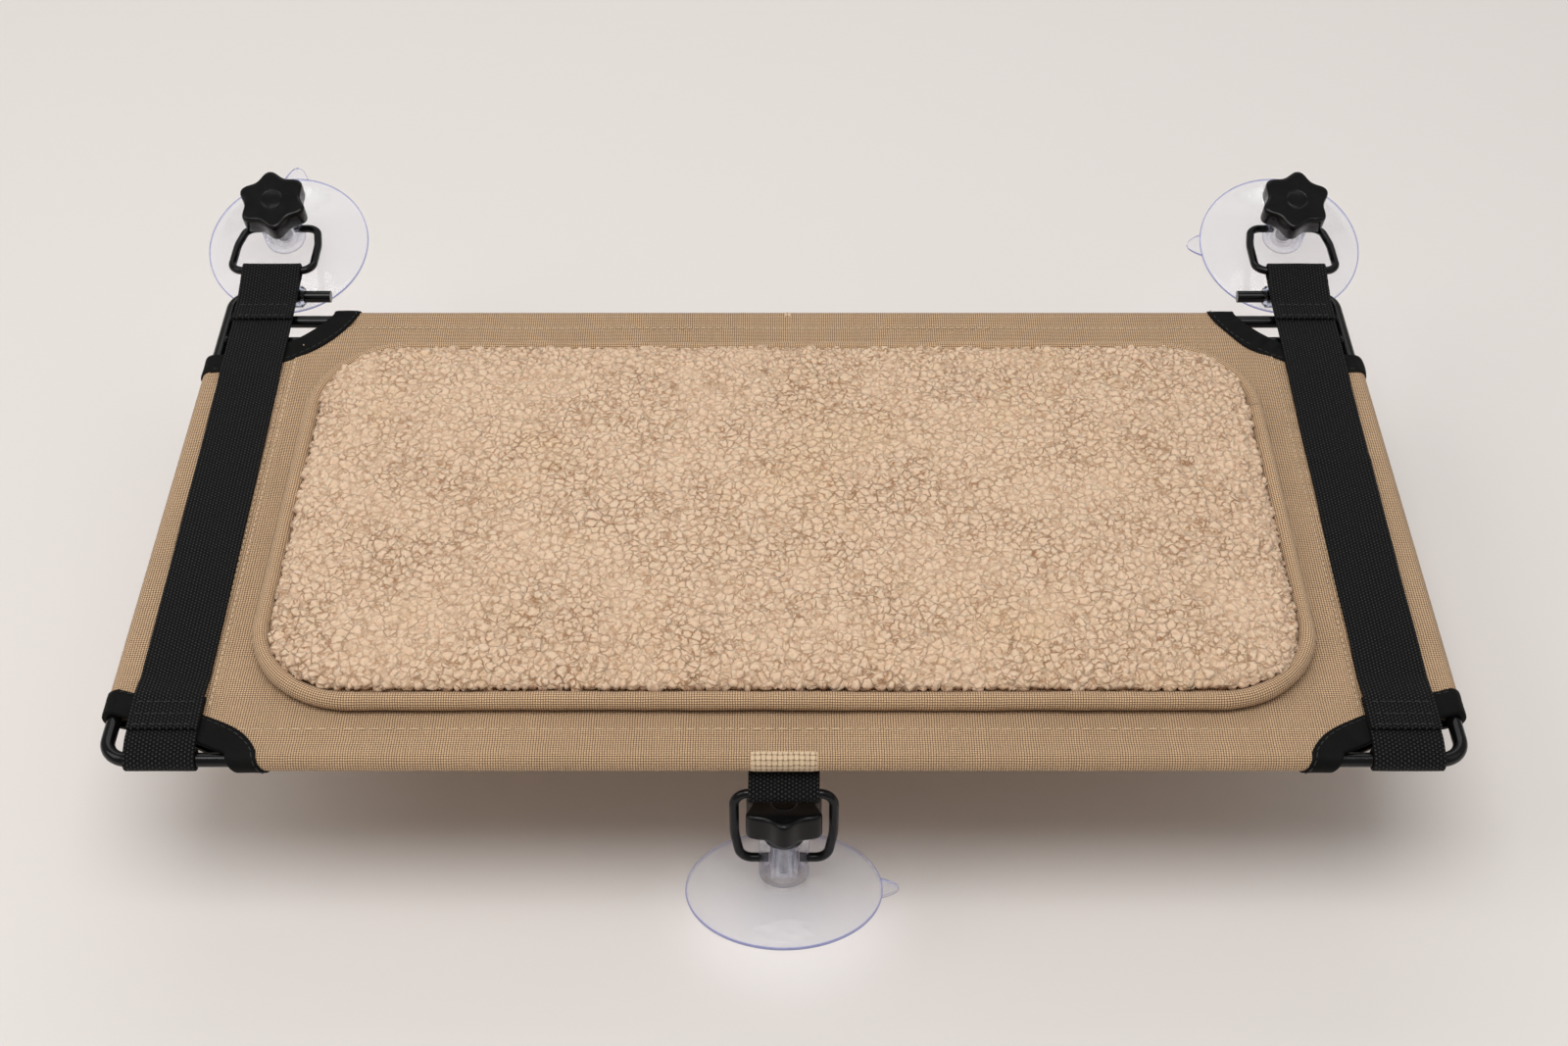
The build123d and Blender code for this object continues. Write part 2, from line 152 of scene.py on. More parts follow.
def times(tree, product, *others):
    for value in others:
        product = calc(tree, "MULTIPLY", product, value)
    return product


def rib(tree, value):
    """Round threads side by side, one to each whole number."""
    return calc(tree, "ABSOLUTE", calc(tree, "SINE", times(tree, value, math.pi)))


def wander(tree, place, scale, detail, reach, start=None):
    """Moves a place, or start, by up to reach with a smooth noise."""
    push = node(tree, "TexNoise", {"Vector": place, "Scale": scale, "Detail": detail})
    inputs = {0: push.outputs["Color"], 1: (reach,) * 3, 2: start or place}
    return node(tree, "VectorMath", inputs, operation="MULTIPLY_ADD").outputs[0]


def shaded(tree, body, shade):
    grey = node(tree, "CombineXYZ", {0: shade, 1: shade, 2: shade}).outputs[0]
    return blend(tree, 1.0, body, grey, "MULTIPLY")


def weave_group(name, coarse, gap_low, gap_high):
    """Node group: plain weave from cloth coordinates in thread widths."""
    group = bpy.data.node_groups.new(name, "ShaderNodeTree")
    group.interface.new_socket("Cloth", in_out="INPUT", socket_type="NodeSocketVector")
    for word in ("Height", "Gap", "Tone"):
        group.interface.new_socket(word, in_out="OUTPUT", socket_type="NodeSocketFloat")
    cloth = group.nodes.new("NodeGroupInput").outputs[0]
    result = group.nodes.new("NodeGroupOutput")
    split = node(group, "SeparateXYZ", {0: wander(group, cloth, 0.14, 2.0, 0.5)})
    u, v = split.outputs[0], split.outputs[1]
    column, row = calc(group, "FLOOR", u), calc(group, "FLOOR", v)
    odd = calc(group, "FLOORED_MODULO", calc(group, "ADD", column, row), 2.0)

    def crossing(over, under):
        sunk = calc(group, "MULTIPLY_ADD", rib(group, under), coarse, 1 - coarse)
        return times(group, calc(group, "POWER", rib(group, over), 0.6), sunk)

    def either(first, second):
        inputs = {0: odd, 2: first, 3: second}
        return node(group, "Mix", inputs, data_type="FLOAT").outputs[0]

    height = either(crossing(u, v), crossing(v, u))
    # The gap is where the threads dip between crossings; the canvases paint shade there.
    gap = remap(group, height, gap_low, gap_high, 1.0, 0.0)
    thread = either(column, calc(group, "ADD", row, 400.5))
    tone = node(group, "TexWhiteNoise", {"W": thread}, noise_dimensions="1D").outputs[0]
    for word, socket in {"Height": height, "Gap": gap, "Tone": tone}.items():
        group.links.new(socket, result.inputs[word])
    return group


plain_weave = weave_group("plain_weave", 0.8, 0.3, 0.75)


def canvas_material(name, light, painted_shade, pitch, depth, weave=plain_weave):
    """Woven canvas. The UV map holds millimetres on the flat cloth; pitch is a thread's width."""
    made, tree, shader, place = material(
        name, "canvas", Roughness=0.9, Sheen_Weight=0.12, Sheen_Roughness=0.5
    )
    uv = node(tree, "UVMap").outputs[0]
    inputs = {0: uv, "Scale": 1 / pitch}
    cloth = node(tree, "VectorMath", inputs, operation="SCALE").outputs[0]
    threads = node(tree, "Group", {"Cloth": cloth}, node_tree=weave).outputs
    slub = remap(tree, threads["Tone"], 0.0, 1.0, 0.95, 1.05)
    cloud = remap(tree, noise(tree, place, 26.0, 5.0, 0.6), 0.3, 0.7, 0.95, 1.04)
    fibre = remap(tree, noise(tree, place, 2200.0, 3.0), 0.3, 0.7, 0.93, 1.07)
    # Painted shade: the gaps between threads take the darker colour.
    body = blend(tree, threads["Gap"], light, painted_shade)
    body = shaded(tree, body, times(tree, slub, cloud, fibre))
    feed(tree, shader, Base_Color=body, Normal=bump(tree, threads["Height"], depth, 0.9))
    return made


# canvas_dark is the painted shade in the gaps between threads.
canvas_light, canvas_dark = (0.80, 0.54, 0.32, 1), (0.19, 0.105, 0.048, 1)
canvas_pitch = 1.05
canvas = canvas_material("canvas", canvas_light, canvas_dark, canvas_pitch, 0.0005)

side_x, front_y, rear_y = 277.0, -300.0, -20.0
sleeve_r = 4.5
canvas_thick = 1.2
hem_low = 1.9
front_hem, side_hem, rear_hem = 17.0, 38.0, 11.0


def cell_quads(index):
    """The quads between neighbours in a grid of point numbers."""
    return np.stack([index[:-1, :-1], index[1:, :-1], index[1:, 1:], index[:-1, 1:]], -1)


def quad_object(name, verts, quads, uv):
    """Builds a mesh of quads; uv is given per vertex."""
    mesh = bpy.data.meshes.new(name)
    mesh.from_pydata(verts.tolist(), [], quads.tolist())
    layer = mesh.uv_layers.new(name="cloth")
    index = np.array([loop.vertex_index for loop in mesh.loops])
    layer.data.foreach_set("uv", uv[index].astype(np.float32).ravel())
    mesh.polygons.foreach_set("use_smooth", [True] * len(mesh.polygons))
    obj = bpy.data.objects.new(name, mesh)
    scene.collection.objects.link(obj)
    return obj


def compact(quads):
    """The points that some quads use, and the quads numbered by them."""
    used, numbers = np.unique(quads, return_inverse=True)
    return used, numbers.reshape(-1, 4)


def thicken(obj, thickness, offset):
    solid = obj.modifiers.new("thickness", "SOLIDIFY")
    solid.thickness = thickness * MM
    solid.offset = offset


def hem_wrap(distance, reach):
    """Inward distance and height on the cloth's outer face, for cloth that runs past a rod."""
    distance = np.asarray(distance, float)
    start_angle = math.pi / 2
    touching = math.acos(sleeve_r / math.hypot(reach, hem_low))
    end_angle = 2 * math.pi + math.atan2(hem_low, reach) - touching
    arc_length = sleeve_r * (end_angle - start_angle)
    on_arc = np.clip(start_angle + distance / sleeve_r, start_angle, end_angle)
    last = sleeve_r * math.cos(end_angle), sleeve_r * math.sin(end_angle)
    flat = reach - last[0], hem_low - last[1]
    past = np.clip(distance - arc_length, 0, None) / math.hypot(*flat)
    inward = sleeve_r * np.cos(on_arc) + past * flat[0]
    height = sleeve_r * np.sin(on_arc) + past * flat[1]
    return np.where(distance < 0, -distance, inward), height, arc_length + math.hypot(*flat)


def stations(*spans):
    """Grid lines at even steps in each span."""
    return np.unique(np.concatenate([np.linspace(*span) for span in spans]))


front_cut, side_cut, rear_cut = (hem_wrap(0.0, hem)[2] for hem in (front_hem, side_hem, rear_hem))
half_cloth = side_x + side_cut
s = stations((-half_cloth, -side_x, 48), (-side_x, side_x, 278), (side_x, half_cloth, 48))
t = stations((front_y - front_cut, front_y, 30), (front_y, rear_y, 141), (rear_y, rear_y + rear_cut, 26))
S, T = np.meshgrid(s, t, indexing="ij")
side_in, side_h, _ = hem_wrap(np.abs(S) - side_x, side_hem)
front_in, front_h, _ = hem_wrap(front_y - T, front_hem)
rear_in, rear_h, _ = hem_wrap(T - rear_y, rear_hem)
X = np.sign(S) * (side_x - side_in)
Y = np.where(T < front_y, front_y + front_in, np.where(T > rear_y, rear_y - rear_in, T))
Z = np.minimum(np.minimum(side_h, front_h), rear_h)


def waves(values, count, low, high, seed):
    """Sum of a few sines with lengths between low and high, scaled to about -1 to 1."""
    pick = np.random.default_rng(seed)
    total = np.zeros_like(values)
    for _ in range(count):
        total += np.sin(values * 2 * math.pi / pick.uniform(low, high) + pick.uniform(0, 6.28))
    return total / math.sqrt(count)


def ridge(distance, width):
    return np.exp(-((distance / width) ** 2))


inner = (np.abs(S) < side_x - 2) & (T > front_y + 2) & (T < rear_y - 2)
from_side, from_front, from_rear = side_x - np.abs(X), Y - front_y, rear_y - Y
edge_fade = np.clip(np.minimum(np.minimum(from_side, from_front), from_rear) / 10.0, 0, 1)
relief = 0.7 * ridge(from_side - 7.5, 3.5) + ridge(from_front - 7.5, 3.0)
relief = -0.55 * (relief + ridge(from_rear - 6.5, 2.5))
relief += 0.16 * waves(X, 6, 4.0, 11.0, 3) * ridge(from_front - 13, 5.0)
relief += 0.20 * waves(Y, 6, 5.0, 14.0, 4) * ridge(from_side - side_hem, 6.0)
relief += 0.12 * waves(X, 6, 5.0, 12.0, 5) * ridge(from_rear - rear_hem, 4.0)
relief += 0.55 * ridge(from_side - 41.5, 2.2) - 0.35 * ridge(from_side - 37.6, 1.0)
slack = np.clip(from_front / 60, 0, 1) * np.clip(from_rear / 60, 0, 1)
relief -= 0.9 * np.clip(from_side / 90, 0, 1) * slack
relief += 0.18 * waves(X * 0.8 + Y * 0.6, 5, 60.0, 160.0, 6) * edge_fade
Z = Z + np.where(inner, relief * np.clip(edge_fade * 3, 0, 1), 0)

# A corner's scoop, front and rear: its width along the cross rod, its depth and its bow.
scoops = {False: (51.0, 22.0, 1.0), True: (54.0, 32.0, 9.5)}
front_slant = 5.0


def scoop_arc(at_rear, count=41):
    """Points of a corner's cut edge, measured in from the two rods' axes."""
    width, depth, bow = scoops[at_rear]
    chord = math.hypot(width, depth)
    middle = np.array([width / 2 + bow * depth / chord, depth / 2 + bow * width / chord])
    share = np.linspace(0, 1, count)[:, None]
    start, end = np.array([0.0, depth]), np.array([width, 0.0])
    return (1 - share) * start + share * end + 4 * share * (1 - share) * (middle - (start + end) / 2)


def slant(angle, at_rear):
    """How far a corner's cut edge has run on along the rod after it wraps round by an angle."""
    return (0.0 if at_rear else front_slant) * (1 - np.cos(angle)) / 2


def inside_scoop(x, y, at_rear, spare):
    """True where the cut is, with the cut's edge moved inward by spare."""
    depth_in = (rear_y - y) if at_rear else (y - front_y)
    side_in = side_x - np.abs(x)
    arc = scoop_arc(at_rear)
    reach = np.interp(np.clip(side_in, 0, None), arc[:, 0], arc[:, 1], right=-1e3)
    limit = scoops[at_rear][0]
    near = (side_in < limit + spare) & (depth_in < np.maximum(reach, 0.0) + spare)
    return near & ((side_in < limit) | (depth_in < spare))


gone = inside_scoop(X, Y, False, 1.5) | inside_scoop(X, Y, True, 1.5)
wrapped = np.clip((front_y - T) / sleeve_r, 0, math.pi)
gone |= (T < front_y) & (side_x - np.abs(X) < scoops[False][0] + slant(wrapped, False))
gone |= (np.abs(S) > side_x) & ((T < front_y) | (T > rear_y))
keep = ~(gone[:-1, :-1] | gone[1:, :-1] | gone[:-1, 1:] | gone[1:, 1:])
used, quads = compact(cell_quads(np.arange(S.size).reshape(S.shape))[keep])
deck_points = np.stack([X, Y, Z], -1).reshape(-1, 3)[used] * MM
cloth_uv = np.stack([S, T], -1).reshape(-1, 2)[used]
deck = quad_object("deck_cloth", deck_points, quads, cloth_uv)
thicken(deck, canvas_thick, -1.0)
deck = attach(dress(deck, canvas), "frame")
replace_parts(deck, "deck_canvas")


# Stitches: beige thread on the canvas, one or two rows along each hem, and black thread on
# the tapes and straps. Each stitch is a short round thread whose ends sink into the cloth.
up = (0, 0, 1)


def unit(vectors):
    return vectors / np.maximum(np.linalg.norm(vectors, axis=-1, keepdims=True), 1e-9)


def distances(points):
    """How far along a path each of its points lies."""
    steps = np.linalg.norm(np.diff(points, axis=0), axis=1)
    return np.concatenate([[0], np.cumsum(steps)])


def sample(fine, at, values):
    """A path's values, given at the distances in at, read at other distances along it."""
    return np.stack([np.interp(fine, at, column) for column in values.T], -1)


def stitch_row(name, path, normal, made, body, length=2.5, gap=1.0, radius=0.27):
    """Short sunk threads along a path of points in millimetres."""
    normal = np.broadcast_to(np.asarray(normal, float), path.shape)
    at = distances(path)
    shape_t = np.array([-1.0, -0.8, -0.35, 0.35, 0.8, 1.0])
    shape_r = np.array([0.35, 0.85, 1.0, 1.0, 0.85, 0.35])
    drop = np.array([-0.55, -0.15, 0.25, 0.25, -0.15, -0.55])
    ring = np.linspace(0, 2 * math.pi, 7)[:-1]
    index = np.arange(36).reshape(6, 6)
    tube = cell_quads(np.hstack([index, index[:, :1]])).reshape(-1, 4)
    verts, quads = [], []
    jitter = np.random.default_rng(len(name))
    for start in np.arange(gap, at[-1] - length, length + gap):
        mid = start + length / 2
        centre, upward = sample(mid, at, path), sample(mid, at, normal)
        along = unit(sample(min(mid + 0.5, at[-1]), at, path) - centre)
        side = unit(np.cross(upward, along))
        along = along + side * jitter.uniform(-0.08, 0.08)
        quads.append(len(verts) + tube)
        for t, r, d in zip(shape_t, shape_r, drop):
            base = centre + along * t * length / 2 + upward * d * radius
            for a in ring:
                verts.append(base + (side * math.cos(a) + upward * math.sin(a)) * r * radius)
    verts = np.array(verts)
    obj = quad_object(name, verts * MM, np.concatenate(quads), verts[:, :2])
    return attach(dress(obj, made), body)


def thread_material(name, slot, light, painted_shade, gloss):
    made, tree, shader, place = material(name, slot, Roughness=gloss, Sheen_Weight=0.2)
    ply = node(tree, "TexWave", {"Vector": place, "Scale": 900.0, "Distortion": 2.0})
    # Painted shade: the ply grooves, where the bump dips, take the darker colour.
    twist = blend(tree, ply.outputs["Fac"], painted_shade, light)
    feed(tree, shader, Base_Color=twist, Normal=bump(tree, ply.outputs["Fac"], 0.00008))
    return made


# beige_dark and black_dark are the painted shade in the ply grooves.
beige_light, beige_dark = (0.92, 0.72, 0.48, 1), (0.55, 0.38, 0.22, 1)
canvas_thread = thread_material("canvas_thread", "canvas", beige_light, beige_dark, 0.6)
black_light, black_dark = (0.009, 0.009, 0.0095, 1), (0.002, 0.002, 0.002, 1)
black_thread = thread_material("black_thread", "webbing", black_light, black_dark, 0.5)


def hem_row(name, start, end, count, **sizes):
    stitch_row(name, np.linspace(start, end, count), up, canvas_thread, "frame", **sizes)


for side, word in ((-1, "left"), (1, "right")):
    for row, (inset, z) in enumerate(((36.6, 4.5), (39.6, 4.75))):
        x = side * (side_x - inset)
        hem_row(f"hem_stitches_{word}_{row + 1}", (x, front_y + 24, z), (x, rear_y - 30, z), 90)
x, y, z = side_x - 52, front_y + 12.6, 4.35
hem_row("hem_stitches_front", (-x, y, z), (x, y, z), 120, length=4.2, gap=1.2)
x, y, z = side_x - 60, rear_y - 10.4, 4.4
hem_row("hem_stitches_rear", (-x, y, z), (x, y, z), 120)


# Coarse basket-woven patch folded over the front sleeve where the strap hangs, sewn down at its top.
# The rear sleeve has a narrow raised seam of the same thread at its middle.
def grid_object(name, points, uv, close_u=False):
    """A mesh from a (rows, columns, 3) array in millimetres, with cloth coordinates in uv."""
    index = np.arange(points[..., 0].size).reshape(points.shape[:2])
    if close_u:
        index = np.vstack([index, index[:1]])
    quads = cell_quads(index).reshape(-1, 4)[:, [0, 3, 2, 1]]
    return quad_object(name, points.reshape(-1, 3) * MM, quads, uv.reshape(-1, 2))


# patch_dark is the painted shade in the gaps between the patch's threads.
patch_light, patch_dark = (0.70, 0.52, 0.34, 1), (0.20, 0.12, 0.055, 1)
basket_weave = weave_group("basket_weave", 0.5, 0.18, 0.6)
patch_canvas = canvas_material("patch_canvas", patch_light, patch_dark, 2.2, 0.0004, basket_weave)
for word, edge_y, low_x, high_x, start, end, toward in (
    ("front", front_y, -13.5, 13.5, 96.0, -42.0, -1),
    ("rear", rear_y, 0.5, 3.2, 120.0, 20.0, 1),
):
    turn, wide = np.radians(np.linspace(start, end, 25)), np.linspace(low_x, high_x, 13)
    A, W = np.meshgrid(turn, wide, indexing="ij")
    at_edge = np.abs(2 * (W - low_x) / (high_x - low_x) - 1) > 0.97
    patch_r = sleeve_r + 0.22 - 0.2 * at_edge
    patch_points = np.stack([W, edge_y + toward * patch_r * np.cos(A), patch_r * np.sin(A)], -1)
    patch = grid_object(f"{word}_sleeve_patch", patch_points, np.stack([W, A * sleeve_r], -1))
    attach(dress(patch, patch_canvas), "frame")


# Corner tapes: black binding folded over each scooped edge of the canvas and round the rods.
# The rear tapes pull into small gathers where they follow the tighter curve.
tape_made, tree, shader, place = material(
    "binding_tape", "binding_tape", Roughness=0.7, Specular_IOR_Level=0.13, Sheen_Weight=0.01,
    Sheen_Roughness=0.4,
)
uv = node(tree, "UVMap").outputs[0]
ribs = node(tree, "TexWave", {"Vector": uv, "Scale": 0.42, "Distortion": 0.6, "Detail": 1.0})
cloud = remap(tree, noise(tree, place, 90.0, 4.0), 0.35, 0.7)
lint = remap(tree, noise(tree, place, 2400.0, 3.0, 0.7), 0.66, 0.78, 0.0, 0.06)
tone = blend(tree, cloud, (0.0022, 0.0022, 0.0021, 1), (0.0045, 0.0044, 0.0042, 1))
tone = blend(tree, lint, tone, (0.08, 0.075, 0.07, 1))
feed(tree, shader, Base_Color=tone, Normal=bump(tree, ribs.outputs["Fac"], 0.00012, 0.6))
tape_width = 12.0


def tape_loop(side, at_rear):
    """Edge points, inward direction and up direction all round a scooped corner."""
    width, depth, _ = scoops[at_rear]
    arc = scoop_arc(at_rear, 34)
    tangent = np.gradient(arc, axis=0)
    normal = unit(np.stack([-tangent[:, 1], tangent[:, 0]], -1))
    if normal[len(normal) // 2].sum() < 0:
        normal = -normal
    ease = np.linspace(0, 1, len(arc))[:, None]
    to_start = np.clip(1 - ease / 0.22, 0, 1) ** 1.5
    to_end = np.clip((ease - 0.78) / 0.22, 0, 1) ** 1.5
    normal = normal * (1 - to_start) * (1 - to_end)
    normal = unit(normal + np.array([0.0, 1.0]) * to_start + np.array([1.0, 0.0]) * to_end)
    turn = np.linspace(0, math.pi, 15)[1:-1]
    rows = [(a, b, sleeve_r, na, nb, 0, 0, 1) for (a, b), (na, nb) in zip(arc, normal)]
    for angle in turn:
        sin, cos = math.sin(angle), math.cos(angle)
        at_a = width + slant(angle, at_rear)
        rows.append((at_a, -sleeve_r * sin, sleeve_r * cos, 1, 0, 0, -sin, cos))
    for (a, b), (na, nb) in zip(arc[::-1], normal[::-1]):
        side_slope = np.interp(a, [0, 2, side_hem, 60], [-sleeve_r, -sleeve_r, 2.0, 2.0])
        front_slope = np.interp(b, [0, 2, front_hem, 60], [-sleeve_r, -sleeve_r, 2.0, 2.0])
        a += slant(math.pi, at_rear) * np.clip(a / width, 0, 1) ** 2
        rows.append((a, b, min(side_slope, front_slope), na, nb, 0, 0, -1))
    for angle in turn[::-1]:
        sin, cos = math.sin(angle), math.cos(angle)
        rows.append((-sleeve_r * sin, depth, sleeve_r * cos, 0, 1, -sin, 0, cos))
    table = np.array(rows, float)
    edge, out = table[:, :3], table[:, 5:8]
    inward = np.c_[table[:, 3:5], np.zeros(len(table))]
    flip = np.array([-side, -1 if at_rear else 1, 1.0])
    corner = np.array([side * side_x, rear_y if at_rear else front_y, 0.0])
    return edge * flip + corner, inward * flip, out * flip


def tape(side, at_rear, name):
    """One binding tape: a profile of inset and lift, carried round the corner's edge."""
    looped = [np.vstack([values, values[:1]]) for values in tape_loop(side, at_rear)]
    along = distances(looped[0])
    fine = np.arange(0, along[-1], 0.7)
    edge, inward, out = (sample(fine, along, values) for values in looped)
    out = unit(out)
    profile = [(tape_width - 0.1, 0.12), (tape_width, 0.5), (tape_width - 0.4, 0.84), (9.0, 0.9)]
    profile += [(6.5, 0.86), (4.0, 0.86), (2.0, 0.9), (0.6, 0.92), (-0.3, 0.84), (-0.8, 0.5)]
    profile += [(-0.95, -0.1), (-0.95, -1.2)]
    seed = side + 3 * at_rear
    gather = waves(fine, 4, 6.0, 13.0, 21 + seed)
    slow = waves(fine, 3, 18.0, 40.0, 31 + seed)
    depth = 0.6 if at_rear else 0.12
    points = []
    for inset, lift in profile:
        share = np.clip((inset + 1) / (tape_width + 1), 0, 1)
        extra = (depth * gather * math.sin(math.pi * share) + 0.10 * slow) * (lift > 0.2)
        raised = out * (lift + np.clip(extra, -0.3, 0.9))[:, None]
        points.append(edge + inward * (inset + 0.5 * slow * share)[:, None] + raised)
    points = np.stack(points, 1)
    across = np.array([0, 0.4, 0.9, 2.5, 4.5, 6.5, 8.5, 9.9, 10.9, 11.4, 12, 13.2])
    uvs = np.stack(np.broadcast_arrays(across[None, :], fine[:, None]), -1)
    obj = grid_object(name, points, uvs, close_u=True)
    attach(dress(obj, tape_made), "frame")
    row = edge + inward * (tape_width - 1.8) + out * 0.95
    half = len(row) // 2
    stitch_row(name + "_stitches", row[:half], out[:half], black_thread, "frame", radius=0.2)
    return obj


for side, word in ((-1, "left"), (1, "right")):
    for at_rear in (False, True):
        place_name = f"corner_tape_{'rear' if at_rear else 'front'}_{word}"
        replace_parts(tape(side, at_rear, place_name + "_binding"), place_name)


# Webbing: black nylon strap, 29 mm wide and 1.5 mm thick, with a nubbly diagonal weave.
# Each side strap is folded round its ring and sewn; a short loop round the front bar is sewn under it.
webbing, tree, shader, place = material(
    "webbing", "webbing", Roughness=0.6, Specular_IOR_Level=0.22, Sheen_Weight=0.005,
    Sheen_Roughness=0.35,
)
split = node(tree, "SeparateXYZ", {0: node(tree, "UVMap").outputs[0]})
column = calc(tree, "DIVIDE", split.outputs[0], 1.46)
row = calc(tree, "DIVIDE", split.outputs[1], 1.7)
zigzag = calc(tree, "PINGPONG", calc(tree, "FLOOR", column), 5.0)
row = calc(tree, "ADD", row, times(tree, zigzag, 0.5))
nub = calc(tree, "POWER", rib(tree, column), 0.7)
nub = times(tree, nub, calc(tree, "POWER", rib(tree, row), 0.9))
cell = {0: calc(tree, "FLOOR", column), 1: calc(tree, "FLOOR", row)}
cell = node(tree, "CombineXYZ", cell).outputs[0]
pick = node(tree, "TexWhiteNoise", {"Vector": cell}).outputs[0]
lively = remap(tree, pick, 0.0, 1.0, 0.4, 1.0)
# Painted highlight: the raised nub tips get a lighter colour than the black strap, and are glossier.
tip_highlight = times(tree, remap(tree, nub, 0.68, 1.0), lively)
tone = blend(tree, tip_highlight, (0.0008, 0.0008, 0.0009, 1), (0.055, 0.055, 0.057, 1))
lint = remap(tree, noise(tree, place, 1800.0, 3.0, 0.7), 0.68, 0.8, 0.0, 0.1)
tone = blend(tree, lint, tone, (0.15, 0.14, 0.13, 1))
gloss = remap(tree, tip_highlight, 0, 1, 0.75, 0.42)
relief = bump(tree, times(tree, nub, lively), 0.0009)
feed(tree, shader, Base_Color=tone, Normal=relief, Roughness=gloss)

web_width, web_thick = 29.2, 1.5
over_tape_z, second_z, on_deck_z = 6.45, 8.05, 5.55
loop_r, bar_wrap_r, second_wrap_r = 3.05, 4.05, 5.55
bar_x, cup_x, cup_y, cup_z = 253.5, 259.0, 43.5, 10.0


def circle_point(centre, radius, angle):
    a = math.radians(angle)
    return np.array([centre[0] + radius * math.cos(a), centre[1] + radius * math.sin(a)])


def arc_points(centre, radius, start, end, count=24):
    return [circle_point(centre, radius, a) for a in np.linspace(start, end, count)]


def touch(centre, radius, point, turn):
    """Angle where a line from an outside point touches a circle."""
    d = np.array(point) - np.array(centre)
    spread = math.degrees(math.acos(radius / np.linalg.norm(d)))
    return math.degrees(math.atan2(d[1], d[0])) + turn * spread


def ribbon(name, route, centre_x, body, seed, creases=(), step=0.9):
    """Webbing along a route in Y and Z; centre_x gives the strap's middle at a Y."""
    route = np.asarray(route, float)
    at = distances(route)
    along = np.linspace(0, at[-1], max(int(at[-1] / step), 2))
    route = sample(along, at, route)
    for _ in range(3):
        route[1:-1] = route[1:-1] * 0.5 + (route[:-2] + route[2:]) * 0.25
    tangent = unit(np.gradient(route, axis=0))
    normal = np.stack([-tangent[:, 1], tangent[:, 0]], -1)
    share = np.linspace(-0.5, 0.5, 25)
    across = share * web_width
    wob = 0.12 * waves(along, 4, 30.0, 90.0, seed)
    lift = 0.05 * waves(along, 5, 5.0, 16.0, seed + 1)[:, None] * np.cos(share * 5)
    lift -= 0.10 * np.abs(share * 2) ** 8
    for at_y, size, reach in creases:
        uneven = 0.6 + 0.4 * np.sin(across / 4 + at_y)
        lift += size * ridge(route[:, 0] - at_y, reach)[:, None] * uneven
    x = centre_x(route[:, 0])[:, None] + across + wob[:, None]
    y, z = (route[:, k, None] + normal[:, k, None] * lift for k in (0, 1))
    uvs = np.stack(np.broadcast_arrays(across[None, :] + web_width / 2, along[:, None]), -1)
    obj = grid_object(name, np.stack([x, y, z], -1), uvs)
    thicken(obj, web_thick, 0.0)
    bevel = obj.modifiers.new("selvedge", "BEVEL")
    put(bevel, width=0.45 * MM, segments=3, limit_method="ANGLE", angle_limit=math.radians(50))
    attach(dress(obj, webbing), body)
    return obj


ring_bar = (8.5, cup_z)
under_ring, over_ring = (-19.9, over_tape_z), (-13.5, second_z)
low_angle = touch(ring_bar, loop_r, under_ring, 1) - 360
high_angle = touch(ring_bar, loop_r, over_ring, -1)
strap_route = [(-290.5, second_z), (-272, second_z), (-260, on_deck_z), (-77, on_deck_z)]
strap_route += [(-66, over_tape_z), under_ring]
strap_route += arc_points(ring_bar, loop_r, low_angle, high_angle)
strap_route += [over_ring, (-27.5, second_z)]
leave = circle_point((front_y, 0), bar_wrap_r, 110)
level_y = leave[0] + (over_tape_z - leave[1]) / math.tan(math.radians(20))
loop_route = arc_points((front_y, 0), bar_wrap_r, 40, -250, 40)
loop_route += [(level_y, over_tape_z), (-272.1, over_tape_z)]
creases = {"left": [(-205, 0.18, 3.0)], "right": [(-176, 0.35, 2.0), (-128, 0.55, 2.4)]}
creases["right"] += [(-121, -0.3, 2.0), (-150, 0.2, 1.8)]


def strap_x(side):
    """The strap runs slightly outward towards the window."""
    return lambda y: side * np.interp(y, [-300, cup_y], [bar_x, cup_x])


for side, word in ((-1, "left"), (1, "right")):
    body = "strap_" + word
    name = "webbing_" + word
    strap = ribbon(name, strap_route, strap_x(side), body, 5 + side, creases[word])
    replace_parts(strap, body)
    in_line = lambda y: np.full_like(y, side * bar_x)
    loop = ribbon("bar_" + name, loop_route, in_line, body, 9 + side)
    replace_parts(loop, "bar_loop_" + word)
    for i, y in enumerate((-288.6, -283.0, -276.5, -25.6, -17.5)):
        x, z = strap_x(side)(y), second_z + web_thick / 2 + 0.07
        path = np.linspace((x - 13, y, z), (x + 13, y, z), 20)
        stitch_row(f"strap_stitches_{word}_{i + 1}", path, up, black_thread, body, radius=0.3)

front_pivot = np.array([-313.9, -46.8])
ring_lean, ring_reach = math.radians(-10.5), 35
front_bar = front_pivot + ring_reach * np.array([-math.sin(ring_lean), math.cos(ring_lean)])
d = front_bar - np.array([front_y, 0.0])
spread = math.degrees(math.acos((second_wrap_r + loop_r) / np.linalg.norm(d)))
away = math.degrees(math.atan2(d[1], d[0]))
sewn = circle_point((front_y, 0), second_wrap_r, away + spread)
front_low = touch(front_bar, loop_r, sewn, -1) + 360
front_route = [sewn] + arc_points(front_bar, loop_r, away + 180 + spread, front_low)
front_route += [front_route[-1] + (sewn - front_route[-1]) * 0.45]
middle_x = lambda y: np.zeros_like(y)
strap = ribbon("webbing_front", front_route, middle_x, "strap_front", 17, step=0.5)
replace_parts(strap, "strap_front")


